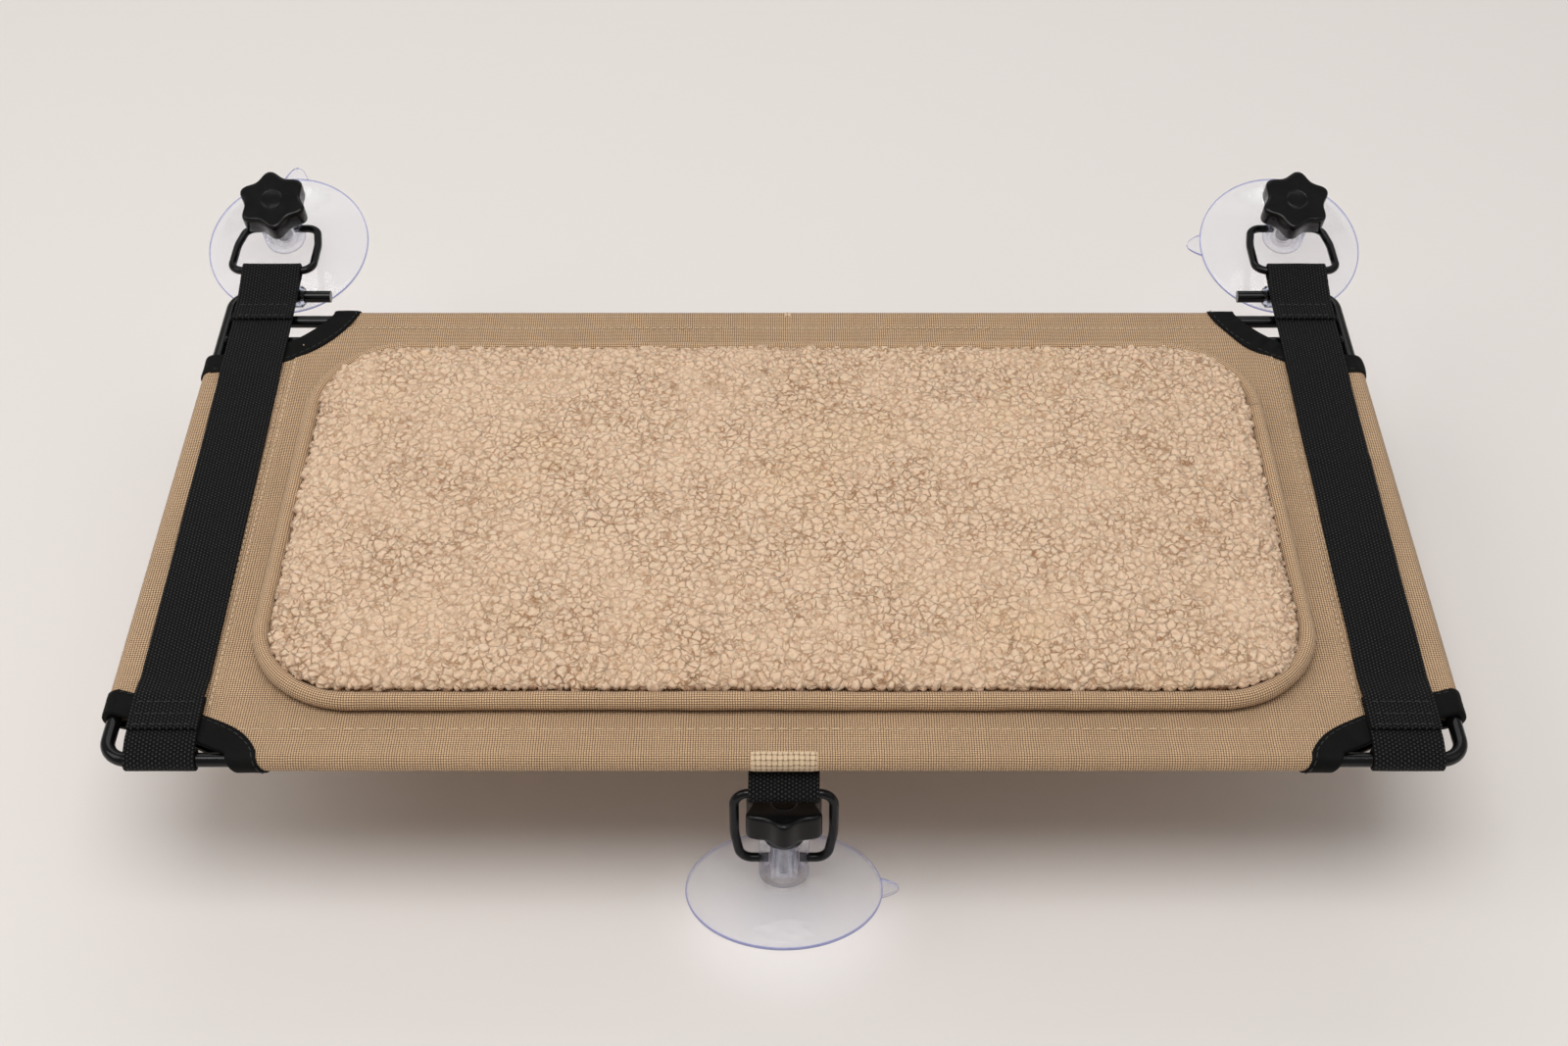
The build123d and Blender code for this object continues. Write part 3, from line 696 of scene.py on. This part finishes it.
# Rings: 4 mm steel wire bent to a bail, satin black, its two ends turned in to the hub.
# Each ring hangs in its strap's fold and can swing there.
ring_wire, tree, shader, place = material(
    "ring_wire", "ring_wire", Roughness=0.2, Specular_IOR_Level=0.24, Coat_Weight=0.05
)
grain = noise(tree, place, 1500.0, 3.0)
rub = remap(tree, noise(tree, place, 220.0, 4.0, 0.6), 0.6, 0.75, 0.0, 0.4)
tone = blend(tree, rub, (0.003, 0.003, 0.0033, 1), (0.02, 0.02, 0.021, 1))
gloss = remap(tree, grain, 0.3, 0.7, 0.15, 0.25)
feed(tree, shader, Base_Color=tone, Roughness=gloss, Normal=bump(tree, grain, 0.00005))
for word in ("left", "right", "front"):
    smooth_cad("ring_" + word, ring_wire)


# Suction cups: clear soft vinyl dish with a stem, a hub that turns on it and a pull tab.
# Each hub holds the ring's ends; the knob's stud screws into the stem.
def placed(word):
    """Where a cup's axis starts, with Z along its stud."""
    if word == "front":
        start, lean = (0, *front_pivot), -18
    else:
        start, lean = ((-1 if word == "left" else 1) * cup_x, cup_y, cup_z), 20
    spin = Matrix.Rotation(math.radians(lean), 4, "X")
    return Matrix.Translation(Vector(start) * MM) @ spin


def in_cup(name, points, uvs, word, made, body, close_u=True):
    """Makes a piece from points about a cup's axis, in millimetres, and puts it in its place."""
    obj = grid_object(name, points, uvs, close_u)
    work = bmesh.new()
    work.from_mesh(obj.data)
    bmesh.ops.remove_doubles(work, verts=work.verts, dist=1e-6)
    bmesh.ops.recalc_face_normals(work, faces=work.faces)
    work.to_mesh(obj.data)
    work.free()
    obj.data.transform(placed(word))
    obj.data.update()
    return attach(dress(obj, made), body)


def turned(name, profile, word, made, body, count):
    """Revolves a profile of radius and height in millimetres about a cup's axis."""
    profile = np.vstack([profile, profile[:1]])
    angles = np.linspace(0, 2 * math.pi, count + 1)[:-1, None]
    r, z = profile[:, 0], profile[:, 1] + 0 * angles
    points = np.stack([r * np.cos(angles), r * np.sin(angles), z], -1)
    uvs = np.broadcast_to(profile, (count, len(profile), 2))
    return in_cup(name, points, uvs, word, made, body)


def spun(points, degrees):
    return points @ np.array(Matrix.Rotation(math.radians(degrees), 3, "Z")).T


def rounded(points, radii):
    """A profile with its corners rounded; radius 0 leaves a corner."""
    points = np.array(points, float)
    out = []
    for before, p, after, r in zip(np.roll(points, 1, 0), points, np.roll(points, -1, 0), radii):
        for t in np.linspace(0, 1, 6) if r else [0]:
            out.append(p + unit(before - p) * r * (1 - t) ** 2 + unit(after - p) * r * t**2)
    return out


def cup_vinyl(name, thinness, low, high, milk):
    """Clear where it is seen flat on, blue violet along its outline and its cut edge."""
    made, tree, shader, place = material(
        name, "clear_vinyl", Roughness=0.04, IOR=1.45, Metallic=0.0, Transmission_Weight=milk
    )
    uv = node(tree, "UVMap").outputs[0]
    radius = node(tree, "SeparateXYZ", {0: uv}).outputs[0]
    cut_edge = remap(tree, radius, 40.6, 41.2)
    outline = node(tree, "LayerWeight", {"Blend": 0.3}).outputs["Facing"]
    dense = calc(tree, "MAXIMUM", cut_edge, remap(tree, outline, low, high))
    body = blend(tree, dense, (0.97, 0.97, 1.0, 1), (0.24, 0.27, 0.66, 1))
    ripple = noise(tree, place, 60.0, 2.0)
    haze = remap(tree, noise(tree, place, 120.0, 4.0), 0.4, 0.75, 0.03, 0.12)
    feed(tree, shader, Base_Color=body, Normal=bump(tree, ripple, 0.0008, 0.25), Roughness=haze)
    see_through = node(tree, "BsdfTransparent", {"Color": (0.965, 0.97, 0.985, 1)})
    shadow = node(tree, "LightPath").outputs["Is Shadow Ray"]
    clearness = remap(tree, radius, 7.0, 10.0, 0.93, thinness)
    thin = times(tree, calc(tree, "SUBTRACT", 1.0, dense), clearness)
    share = calc(tree, "MAXIMUM", shadow, thin)
    inputs = {0: share, 1: shader.outputs[0], 2: see_through.outputs[0]}
    mix = node(tree, "MixShader", inputs)
    tree.links.new(mix.outputs[0], tree.nodes["Material Output"].inputs["Surface"])
    return made


cup_clear = cup_vinyl("cup_vinyl", 0.62, 0.5, 0.97, 0.75)
hub_clear = cup_vinyl("hub_vinyl", 0.82, 0.15, 0.85, 1.0)

# Profiles in millimetres: radius from the axis and height along it.
bore_r, stem_r = 4.08, 6.0
arc = np.linspace(0, 1, 15)[1:-1]
dish = [(0, -11.7), (0, -7.75), (bore_r, -7.75), (bore_r, 8.95), (stem_r, 8.95), (stem_r, -9.08)]
dish += [(10.0, -9.08), (10.0, -9.12)]
dish += [(10 + 31.5 * t, -9.12 - 5.98 * t + 0.9 * math.sin(math.pi * t) * (1 - t)) for t in arc]
dish += [(41.0, -15.1), (41.42, -15.4), (41.5, -15.8), (41.3, -16.35), (40.9, -16.5), (39.5, -16.5)]
dish += [(39.5 * (1 - t), -16.5 + 4.8 * math.sin(math.pi / 2 * t) ** 1.1) for t in arc]
hub_profile = rounded([(6.08, -9), (10.6, -9), (10.6, 9), (6.08, 9)], [0.3, 2.2, 2.2, 0.3])


def tab_mesh(word, turn):
    """The pull tab, pointed and rounded at its end, growing out of the dish's rim."""
    T, W = np.meshgrid(np.linspace(0, 1, 12), np.linspace(-1, 1, 13), indexing="ij")
    half = 6.0 * (1 - T) ** 1.1 + 2.4 * np.sqrt(np.clip(1 - T**6, 0, 1)) * T**0.5
    px, py = 40.4 + 8.0 * T, W * half
    top = np.stack([px, py, -15.1 - 0.15 * T], -1)
    bottom = np.stack([px, py, -16.5 + 0.15 * T], -1)
    points = np.concatenate([top, bottom[:, ::-1], top[:, :1]], 1)
    cut_edge = np.maximum(np.abs(W) ** 5, T**6)
    cut_edge = np.concatenate([cut_edge, cut_edge, 0 * T[:, :1]], 1) * 6 + 36
    uvs = np.stack([cut_edge, cut_edge], -1)
    in_cup("pull_tab_" + word, spun(points, turn), uvs, word, cup_clear, "cup_" + word, False)


for word, tab_turn in (("left", 90), ("right", 180), ("front", 0)):
    cup, hub = "cup_" + word, "hub_" + word
    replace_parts(turned("cup_dish_" + word, dish, word, cup_clear, cup, 160), cup)
    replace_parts(turned("hub_body_" + word, hub_profile, word, hub_clear, hub, 96), hub)
    tab_mesh(word, tab_turn)


# Knobs: black moulded plastic with six lobes, over a black collar and a dark steel stud.
# The stud is fixed in the knob and runs down through the collar into the cup's stem.
knob_made, tree, shader, place = material(
    "knob_plastic", "knob_plastic", Roughness=0.25, Specular_IOR_Level=0.26
)
pits = noise(tree, place, 1900.0, 3.0, 0.6)
cloud = remap(tree, noise(tree, place, 150.0, 4.0), 0.35, 0.7)
tone = blend(tree, cloud, (0.0025, 0.0025, 0.0026, 1), (0.004, 0.004, 0.0041, 1))
gloss = remap(tree, cloud, 0, 1, 0.2, 0.24)
feed(tree, shader, Base_Color=tone, Roughness=gloss, Normal=bump(tree, pits, 0.00006, 0.6))
stud_made, tree, shader, place = material("stud_steel", "stud_steel", Metallic=1.0, Roughness=0.4)
streak = noise(tree, place, 700.0, 4.0)
tone = remap(tree, streak, 0.3, 0.7)
tone = blend(tree, tone, (0.012, 0.013, 0.02, 1), (0.05, 0.053, 0.07, 1))
feed(tree, shader, Base_Color=tone, Roughness=remap(tree, streak, 0.3, 0.7, 0.28, 0.42))

stud_r, screw_pitch = 4.0, 1.25
collar_profile = [(bore_r, 9.1), (8.0, 9.1), (9.0, 12.3), (9.0, 15.7), (bore_r, 15.7)]
collar_profile = rounded(collar_profile, [0, 0.6, 0.8, 0.6, 0])


def knob_reach(angle):
    """Outline radius of the six-lobed knob."""
    wave = np.cos(6 * angle)
    return 15.9 + 1.7 * wave - 0.25 * (1 - wave**2)


def knob_mesh(word, turn):
    """The knob: flat foot, rounded rims and a face with a shallow ring."""
    angles = np.linspace(0, 2 * math.pi, 181)[:-1]
    reach = knob_reach(angles)
    foot, face = 15.8, 27.2
    foot_round, face_round, face_edge = 1.6, 1.9, 2.2
    layers = [(reach * share, foot) for share in (0.0, 0.25, 0.5)]
    for a in np.linspace(0, math.pi / 2, 5):
        sin, cos = math.sin(a), math.cos(a)
        layers.append((reach - foot_round * (1 - sin), foot + foot_round * (1 - cos)))
    layers.append((reach, face - face_edge))
    for a in np.linspace(0, math.pi / 2, 7)[1:]:
        sin, cos = math.sin(a), math.cos(a)
        layers.append((reach - face_round * (1 - cos), face - face_round * (1 - sin)))
    layers.append((reach - face_edge, face))
    flat_r, sunk_r = (12.0, 11.6, 6.3, 5.7), ((5.5, 0.05), (5.4, 0.25), (4.7, 0.25), (4.6, 0.05))
    layers += [(r, face) for r in flat_r] + [(r, face - down) for r, down in sunk_r]
    layers += [(4.4, face), (0.0, face)]
    flat = 0 * angles
    points = [np.stack([r * np.cos(angles), r * np.sin(angles), z + flat], -1) for r, z in layers]
    points = spun(np.stack(points, 1), turn)
    return in_cup("knob_body_" + word, points, points[..., :2], word, knob_made, "knob_" + word)


def stud_mesh(word):
    """The stud's thread, and its plain end."""
    angles = np.linspace(0, 2 * math.pi, 25)
    A, H = np.meshgrid(angles, np.arange(-6.0, 15.9, 0.2), indexing="ij")
    wave = np.abs(((H / screw_pitch - A / (2 * math.pi)) % 1) - 0.5) * 2
    r = np.where(H < -5.6, 3.3, stud_r - 0.62 * wave * (H > -5.4))
    points = np.stack([r * np.cos(A), r * np.sin(A), H], -1)
    points = np.concatenate([points[:, :1] * (0, 0, 1), points], 1)
    uvs = np.broadcast_to(angles[:, None, None], points.shape[:2] + (2,))
    return in_cup(f"stud_thread_{word}", points, uvs, word, stud_made, "knob_" + word, False)


for word, knob_turn in (("left", -80), ("right", -100), ("front", -90)):
    collar = "collar_" + word
    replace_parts(turned("collar_body_" + word, collar_profile, word, knob_made, collar, 72), collar)
    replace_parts(knob_mesh(word, knob_turn), "knob_" + word)
    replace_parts(stud_mesh(word), "stud_" + word)


# Fleece mat: curled fleece top over a thin pad, canvas base, and a canvas piped edge.
# The fleece shell is blown up by a cloth simulation held at its seam, then given its curls.
mat_half_x, mat_half_y, mat_corner = 226, 116, 47
mat_y = front_y + 20 + mat_half_y
mat_floor = 4.8
seam_z = mat_floor + 4
crown, curl_size = 11.2, 4.6
last_frame = 30


def mat_outline(inset):
    return mat_half_x - inset, mat_half_y - inset, mat_corner - inset


def round_rect(a, b, half_x, half_y, corner):
    """Maps a plain grid to a rounded rectangle, smooth at the corners."""
    x, y = a * half_x, b * half_y
    cx = np.clip((np.abs(x) - (half_x - corner)) / corner, 0, 1)
    cy = np.clip((np.abs(y) - (half_y - corner)) / corner, 0, 1)
    nx = (half_x - corner) + corner * cx * np.sqrt(1 - cy**2 / 2)
    ny = (half_y - corner) + corner * cy * np.sqrt(1 - cx**2 / 2)
    return np.where(cx > 0, np.sign(x) * nx, x), np.where(cy > 0, np.sign(y) * ny, y)


def apply_modifiers(obj):
    """Gives an object the mesh that its modifiers make of it."""
    graph = bpy.context.evaluated_depsgraph_get()
    made = bpy.data.meshes.new_from_object(obj.evaluated_get(graph))
    obj.modifiers.clear()
    obj.data = made


def fleece_shell():
    """A closed flat bag, pinned on its seam and filled by pressure."""
    a, b = np.meshgrid(np.linspace(-1, 1, 81), np.linspace(-1, 1, 41), indexing="ij")
    x, y = round_rect(a, b, *mat_outline(9))
    rim = (np.abs(a) > 0.999) | (np.abs(b) > 0.999)
    dome = np.clip(1 - np.maximum(np.abs(a) ** 8, np.abs(b) ** 6), 0, 1)
    sides = [np.stack([x, y + mat_y, seam_z + depth * dome], -1) for depth in (8.0, -1.5)]
    index = np.arange(a.size).reshape(a.shape)
    other = index + a.size
    other[rim] = index[rim]
    quads = [cell_quads(index).reshape(-1, 4), cell_quads(other).reshape(-1, 4)[:, ::-1]]
    used, quads = compact(np.concatenate(quads))
    verts = np.concatenate(sides).reshape(-1, 3)[used]
    obj = quad_object("fleece_top", verts * MM, quads, verts[:, :2])
    pins = obj.vertex_groups.new(name="seam")
    pins.add(np.searchsorted(used, index[rim]).tolist(), 1.0, "REPLACE")
    plate_mesh = bpy.data.meshes.new("plate")
    corners = [(-0.4, -0.4), (0.4, -0.4), (0.4, 0.1), (-0.4, 0.1)]
    plate_mesh.from_pydata([(*corner, 0.0062) for corner in corners], [], [(0, 1, 2, 3)])
    plate = bpy.data.objects.new("plate", plate_mesh)
    scene.collection.objects.link(plate)
    plate.modifiers.new("c", "COLLISION")
    plate.collision.thickness_outer = 0.001
    cloth = obj.modifiers.new("cloth", "CLOTH")
    put(cloth.settings, quality=6, mass=0.15, tension_stiffness=18, compression_stiffness=12)
    put(cloth.settings, bending_stiffness=1.2, vertex_group_mass="seam")
    put(cloth.settings, use_pressure=True, uniform_pressure_force=1.6)
    cloth.settings.effector_weights.gravity = 0.02
    put(cloth.collision_settings, use_collision=True, distance_min=0.001)
    put(cloth.point_cache, frame_start=1, frame_end=last_frame)
    for frame_number in range(1, last_frame + 1):
        scene.frame_set(frame_number)
    apply_modifiers(obj)
    obj.vertex_groups.clear()
    scene.frame_set(1)
    bpy.data.objects.remove(plate)
    return obj


def read_points(mesh, what):
    """Places or normals of a mesh's points."""
    values = np.empty(len(mesh.vertices) * 3)
    mesh.vertices.foreach_get(what, values)
    return values.reshape(-1, 3)


def curls(obj):
    """Smooths the shell and raises it into curls; the attribute lift keeps each point's height."""
    put(obj.modifiers.new("smooth", "SUBSURF"), levels=3, render_levels=3)
    apply_modifiers(obj)
    fine = obj.data
    co, nor = read_points(fine, "co") / MM, read_points(fine, "normal")
    share = np.clip((co[:, 2] - seam_z) / (co[:, 2].max() - seam_z), 0, 1) ** 0.3
    co[:, 2] = np.where(co[:, 2] > seam_z, seam_z + crown * share, co[:, 2])
    co[:, :2] += nor[:, :2] * 2.6 * np.sin(math.pi * share)[:, None]
    fine.vertices.foreach_set("co", (co * MM).ravel())
    fine.update()
    nor = read_points(fine, "normal")
    leans = ([0.8, 0.5, 0.3], [0.4, -0.9, 0.2], [0.5, 0.3, 0.9])
    warp = [waves(co @ lean, 4, 6.0, 17.0, 50 + i) for i, lean in enumerate(leans)]
    warp = np.stack(warp, -1)
    near, second, chosen = cells(co + 0.8 * warp, curl_size, 71)
    crack = np.clip((second - near) / 2.2, 0, 1)
    tuft = crack * (2 - crack) * (0.6 + 0.7 * chosen)
    side_share = np.clip(1.15 - share, 0, 1)
    x, y = (co[:, k] + 3 * warp[:, k] for k in (0, 1))
    swell = 0.5 * waves(x, 4, 11.0, 34.0, 61) * waves(y, 4, 11.0, 34.0, 62)
    lift = tuft * (0.45 + 1.9 * side_share) + np.clip(0.25 * swell, -0.25, 0.25)
    co += nor * lift[:, None]
    fine.vertices.foreach_set("co", (co * MM).ravel())
    for name, values in {"lift": np.clip(tuft, 0, 1), "pick": chosen}.items():
        attribute = fine.attributes.new(name, "FLOAT", "POINT")
        attribute.data.foreach_set("value", values.astype(np.float32))
    fine.polygons.foreach_set("use_smooth", [True] * len(fine.polygons))
    fine.update()
    return obj


def cells(points, size, seed):
    """Nearest and second distance to scattered seeds, one to a cube, and the nearest's pick."""
    base = np.floor(points / size).astype(int)
    best = np.full(len(points), 1e9)
    second, chosen = best.copy(), np.zeros(len(points))
    for step in np.ndindex(3, 3, 3):
        cube = base + np.array(step) - 1
        mixed = (cube[:, 0] * 73856093) ^ (cube[:, 1] * 19349663) ^ (cube[:, 2] * 83492791)
        mixed ^= seed * 2654435
        parts = []
        for k in range(4):
            mixed = (mixed * 1103515245 + 12345 + k) & 0x7FFFFFFF
            parts.append(((mixed >> 8) & 0xFFFF) / 65535.0)
        at = (cube + 0.12 + 0.76 * np.stack(parts[:3], -1)) * size
        d = np.linalg.norm(points - at, axis=1)
        second = np.where(d < best, best, np.minimum(second, d))
        chosen = np.where(d < best, parts[3], chosen)
        best = np.minimum(d, best)
    return best, second, chosen


fleece_made, tree, shader, place = material(
    "fleece", "fleece", Roughness=0.95, Sheen_Weight=0.12, Sheen_Roughness=0.6,
    Subsurface_Weight=0.1, Subsurface_Scale=0.002,
)
lift = node(tree, "Attribute", attribute_name="lift").outputs["Fac"]
pick = node(tree, "Attribute", attribute_name="pick").outputs["Fac"]
fuzz = noise(tree, place, 1500.0, 4.0, 0.65)
strand = noise(tree, place, 620.0, 5.0, 0.7)
swayed = wander(tree, place, 110.0, 3.0, 0.006)
swayed = wander(tree, place, 420.0, 2.0, 0.0026, swayed)
inputs = {"Vector": swayed, "Scale": 260.0}
curl = node(tree, "TexVoronoi", inputs, feature="DISTANCE_TO_EDGE").outputs[0]
dome = node(tree, "TexVoronoi", inputs).outputs[0]
tight = remap(tree, noise(tree, place, 34.0, 3.0), 0.35, 0.65, 0.6, 1.0)
broken = remap(tree, noise(tree, place, 300.0, 2.0), 0.36, 0.6, 0.25, 1.0)
# Painted shade: the cracks between curls and the low parts between the curls' tops are darkened.
split = times(tree, remap(tree, curl, 0.01, 0.17, 1.0, 0.0), tight, broken)
crevice_shade = remap(tree, lift, 0.0, 0.4, 0.35, 0.0)
painted_shade = calc(tree, "MAXIMUM", crevice_shade, split)
pick = times(tree, pick, 0.35)
body = blend(tree, pick, (0.79, 0.572, 0.392, 1), (0.86, 0.67, 0.50, 1))
straw = remap(tree, noise(tree, place, 22.0, 4.0, 0.6), 0.52, 0.7, 0.0, 0.35)
body = blend(tree, straw, body, (0.78, 0.55, 0.32, 1))
# The deep brown is the painted shade in the cracks and hollows.
body = blend(tree, painted_shade, body, (0.36, 0.17, 0.065, 1))
body = shaded(tree, body, remap(tree, strand, 0.3, 0.7, 0.92, 1.06))
hairs = calc(tree, "ADD", times(tree, strand, 0.22), times(tree, fuzz, 0.10))
round_top = calc(tree, "SUBTRACT", 1.0, calc(tree, "POWER", dome, 2.0))
puff = calc(tree, "ADD", remap(tree, curl, 0.0, 0.14, 0.0, 0.25), times(tree, round_top, 1.1))
height = calc(tree, "ADD", hairs, times(tree, puff, tight))
feed(tree, shader, Base_Color=body, Normal=bump(tree, height, 0.0014, 0.9))
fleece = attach(dress(curls(fleece_shell()), fleece_made), "mat")
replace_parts(fleece, "mat_fleece", "mat_core")

# The piping canvas has the same painted shade in the gaps between its threads.
piping_canvas = canvas_material("piping_canvas", canvas_light, canvas_dark, canvas_pitch, 0.0004)
piping_r, piping_inset = 3.85, 4.0


def mat_edge(inset):
    """Points round the mat's rounded outline, with outward directions and distances."""
    half_x, half_y, corner = mat_outline(inset)
    signs = np.repeat([(1, 1), (-1, 1), (-1, -1), (1, -1)], 40, axis=0)
    turn = np.concatenate([np.linspace(a, a + 90, 40) for a in (0, 90, 180, 270)])
    outs = np.stack([np.cos(np.radians(turn)), np.sin(np.radians(turn))], -1)
    pts = signs * (half_x - corner, half_y - corner) + corner * outs
    pts, outs = np.vstack([pts, pts[:1]]), np.vstack([outs, outs[:1]])
    at = distances(pts)
    fine = np.linspace(0, at[-1], 901)[:-1]
    return sample(fine, at, pts), unit(sample(fine, at, outs)), fine


edge, outward, along = mat_edge(piping_inset)
around = np.linspace(0, 2 * math.pi, 25)
swell = (piping_r + 0.10 * waves(along, 5, 14.0, 60.0, 41))[:, None]
rise = np.clip(0.35 * waves(along, 4, 90.0, 260.0, 42), -0.2, 0.9)[:, None]
pucker = 0.10 * waves(along, 6, 3.5, 9.0, 43)[:, None] * np.clip(-np.cos(around), 0, 1)
reach = np.cos(around) * swell + pucker
x, y = edge[:, :1] + outward[:, :1] * reach, edge[:, 1:] + outward[:, 1:] * reach + mat_y
z = mat_floor + piping_r + 0.1 + np.sin(around) * swell + rise
uvs = np.stack(np.broadcast_arrays(along[:, None], around[None] * 4.0), -1)
piping = grid_object("piping_cloth", np.stack([x, y, z], -1), uvs, close_u=True)
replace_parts(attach(dress(piping, piping_canvas), "mat"), "mat_piping")

a, b = np.meshgrid(np.linspace(-1, 1, 90), np.linspace(-1, 1, 46), indexing="ij")
half_x, half_y, corner = mat_outline(piping_inset)
x, y = round_rect(a, b, half_x, half_y, corner)
flat_x, flat_y, rim_wide = mat_half_x - 30, mat_half_y - 30, 22
rim_share = np.clip(np.maximum(np.abs(x) - flat_x, np.abs(y) - flat_y) / rim_wide, 0, 1)
points = np.stack([x, y + mat_y, mat_floor + 1.6 + 1.7 * rim_share], -1)
base = grid_object("mat_base_cloth", points, np.stack([x, y], -1))
thicken(base, canvas_thick, -1.0)
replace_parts(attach(dress(base, piping_canvas), "mat"), "mat_base")


# Stage and camera: pale floor and backdrop, soft studio light.
# The camera's place and lens are fitted to the frame's corners in the photograph.
cam = bpy.data.objects.new("camera", bpy.data.cameras.new("camera"))
scene.collection.objects.link(cam)
put(cam.data, lens=49.57, sensor_width=36.0, clip_start=0.05, clip_end=50)
put(cam, location=(0, -0.8576, 0.6851), rotation_euler=(math.radians(45.4), 0, 0))
scene.camera = cam

stage_white = bpy.data.materials.new("stage_white")
stage_white.use_nodes = True
shader = stage_white.node_tree.nodes["Principled BSDF"]
shader.inputs["Base Color"].default_value = (0.82, 0.778, 0.748, 1)
shader.inputs["Roughness"].default_value = 0.8
shader.inputs["Specular IOR Level"].default_value = 0.0
floor_z = -0.092
bpy.ops.mesh.primitive_plane_add(size=8, location=(0, 0.5, floor_z))
floor = bpy.context.object
floor.name = "floor"
floor.data.materials.append(stage_white)


def soft_light(name, place, target, size, power, tint=(1, 1, 1)):
    lamp = bpy.data.lights.new(name, "AREA")
    put(lamp, shape="RECTANGLE", size=size[0], size_y=size[1], energy=power, color=tint)
    obj = bpy.data.objects.new(name, lamp)
    scene.collection.objects.link(obj)
    aim = (Vector(target) - Vector(place)).to_track_quat("-Z", "Y")
    put(obj, location=place, rotation_euler=aim.to_euler())


soft_light("softbox", (-0.1, -0.75, 2.4), (0, -0.1, 0), (1.8, 1.2), 34)
soft_light("back", (0, 1.5, 1.9), (0, -0.1, 0), (2.4, 0.9), 9)
soft_light("key", (-1.7, -0.5, 1.7), (0, -0.15, 0), (1.2, 1.2), 10, (1, 0.985, 0.96))
soft_light("fill", (1.9, -0.8, 1.7), (0, -0.15, 0), (1.4, 1.6), 3.5)
world = bpy.data.worlds.new("studio")
world.use_nodes = True
background = world.node_tree.nodes["Background"]
background.inputs["Color"].default_value = (0.92, 0.90, 0.88, 1)
background.inputs["Strength"].default_value = 0.34
scene.world = world
scene.view_settings.view_transform = "Standard"
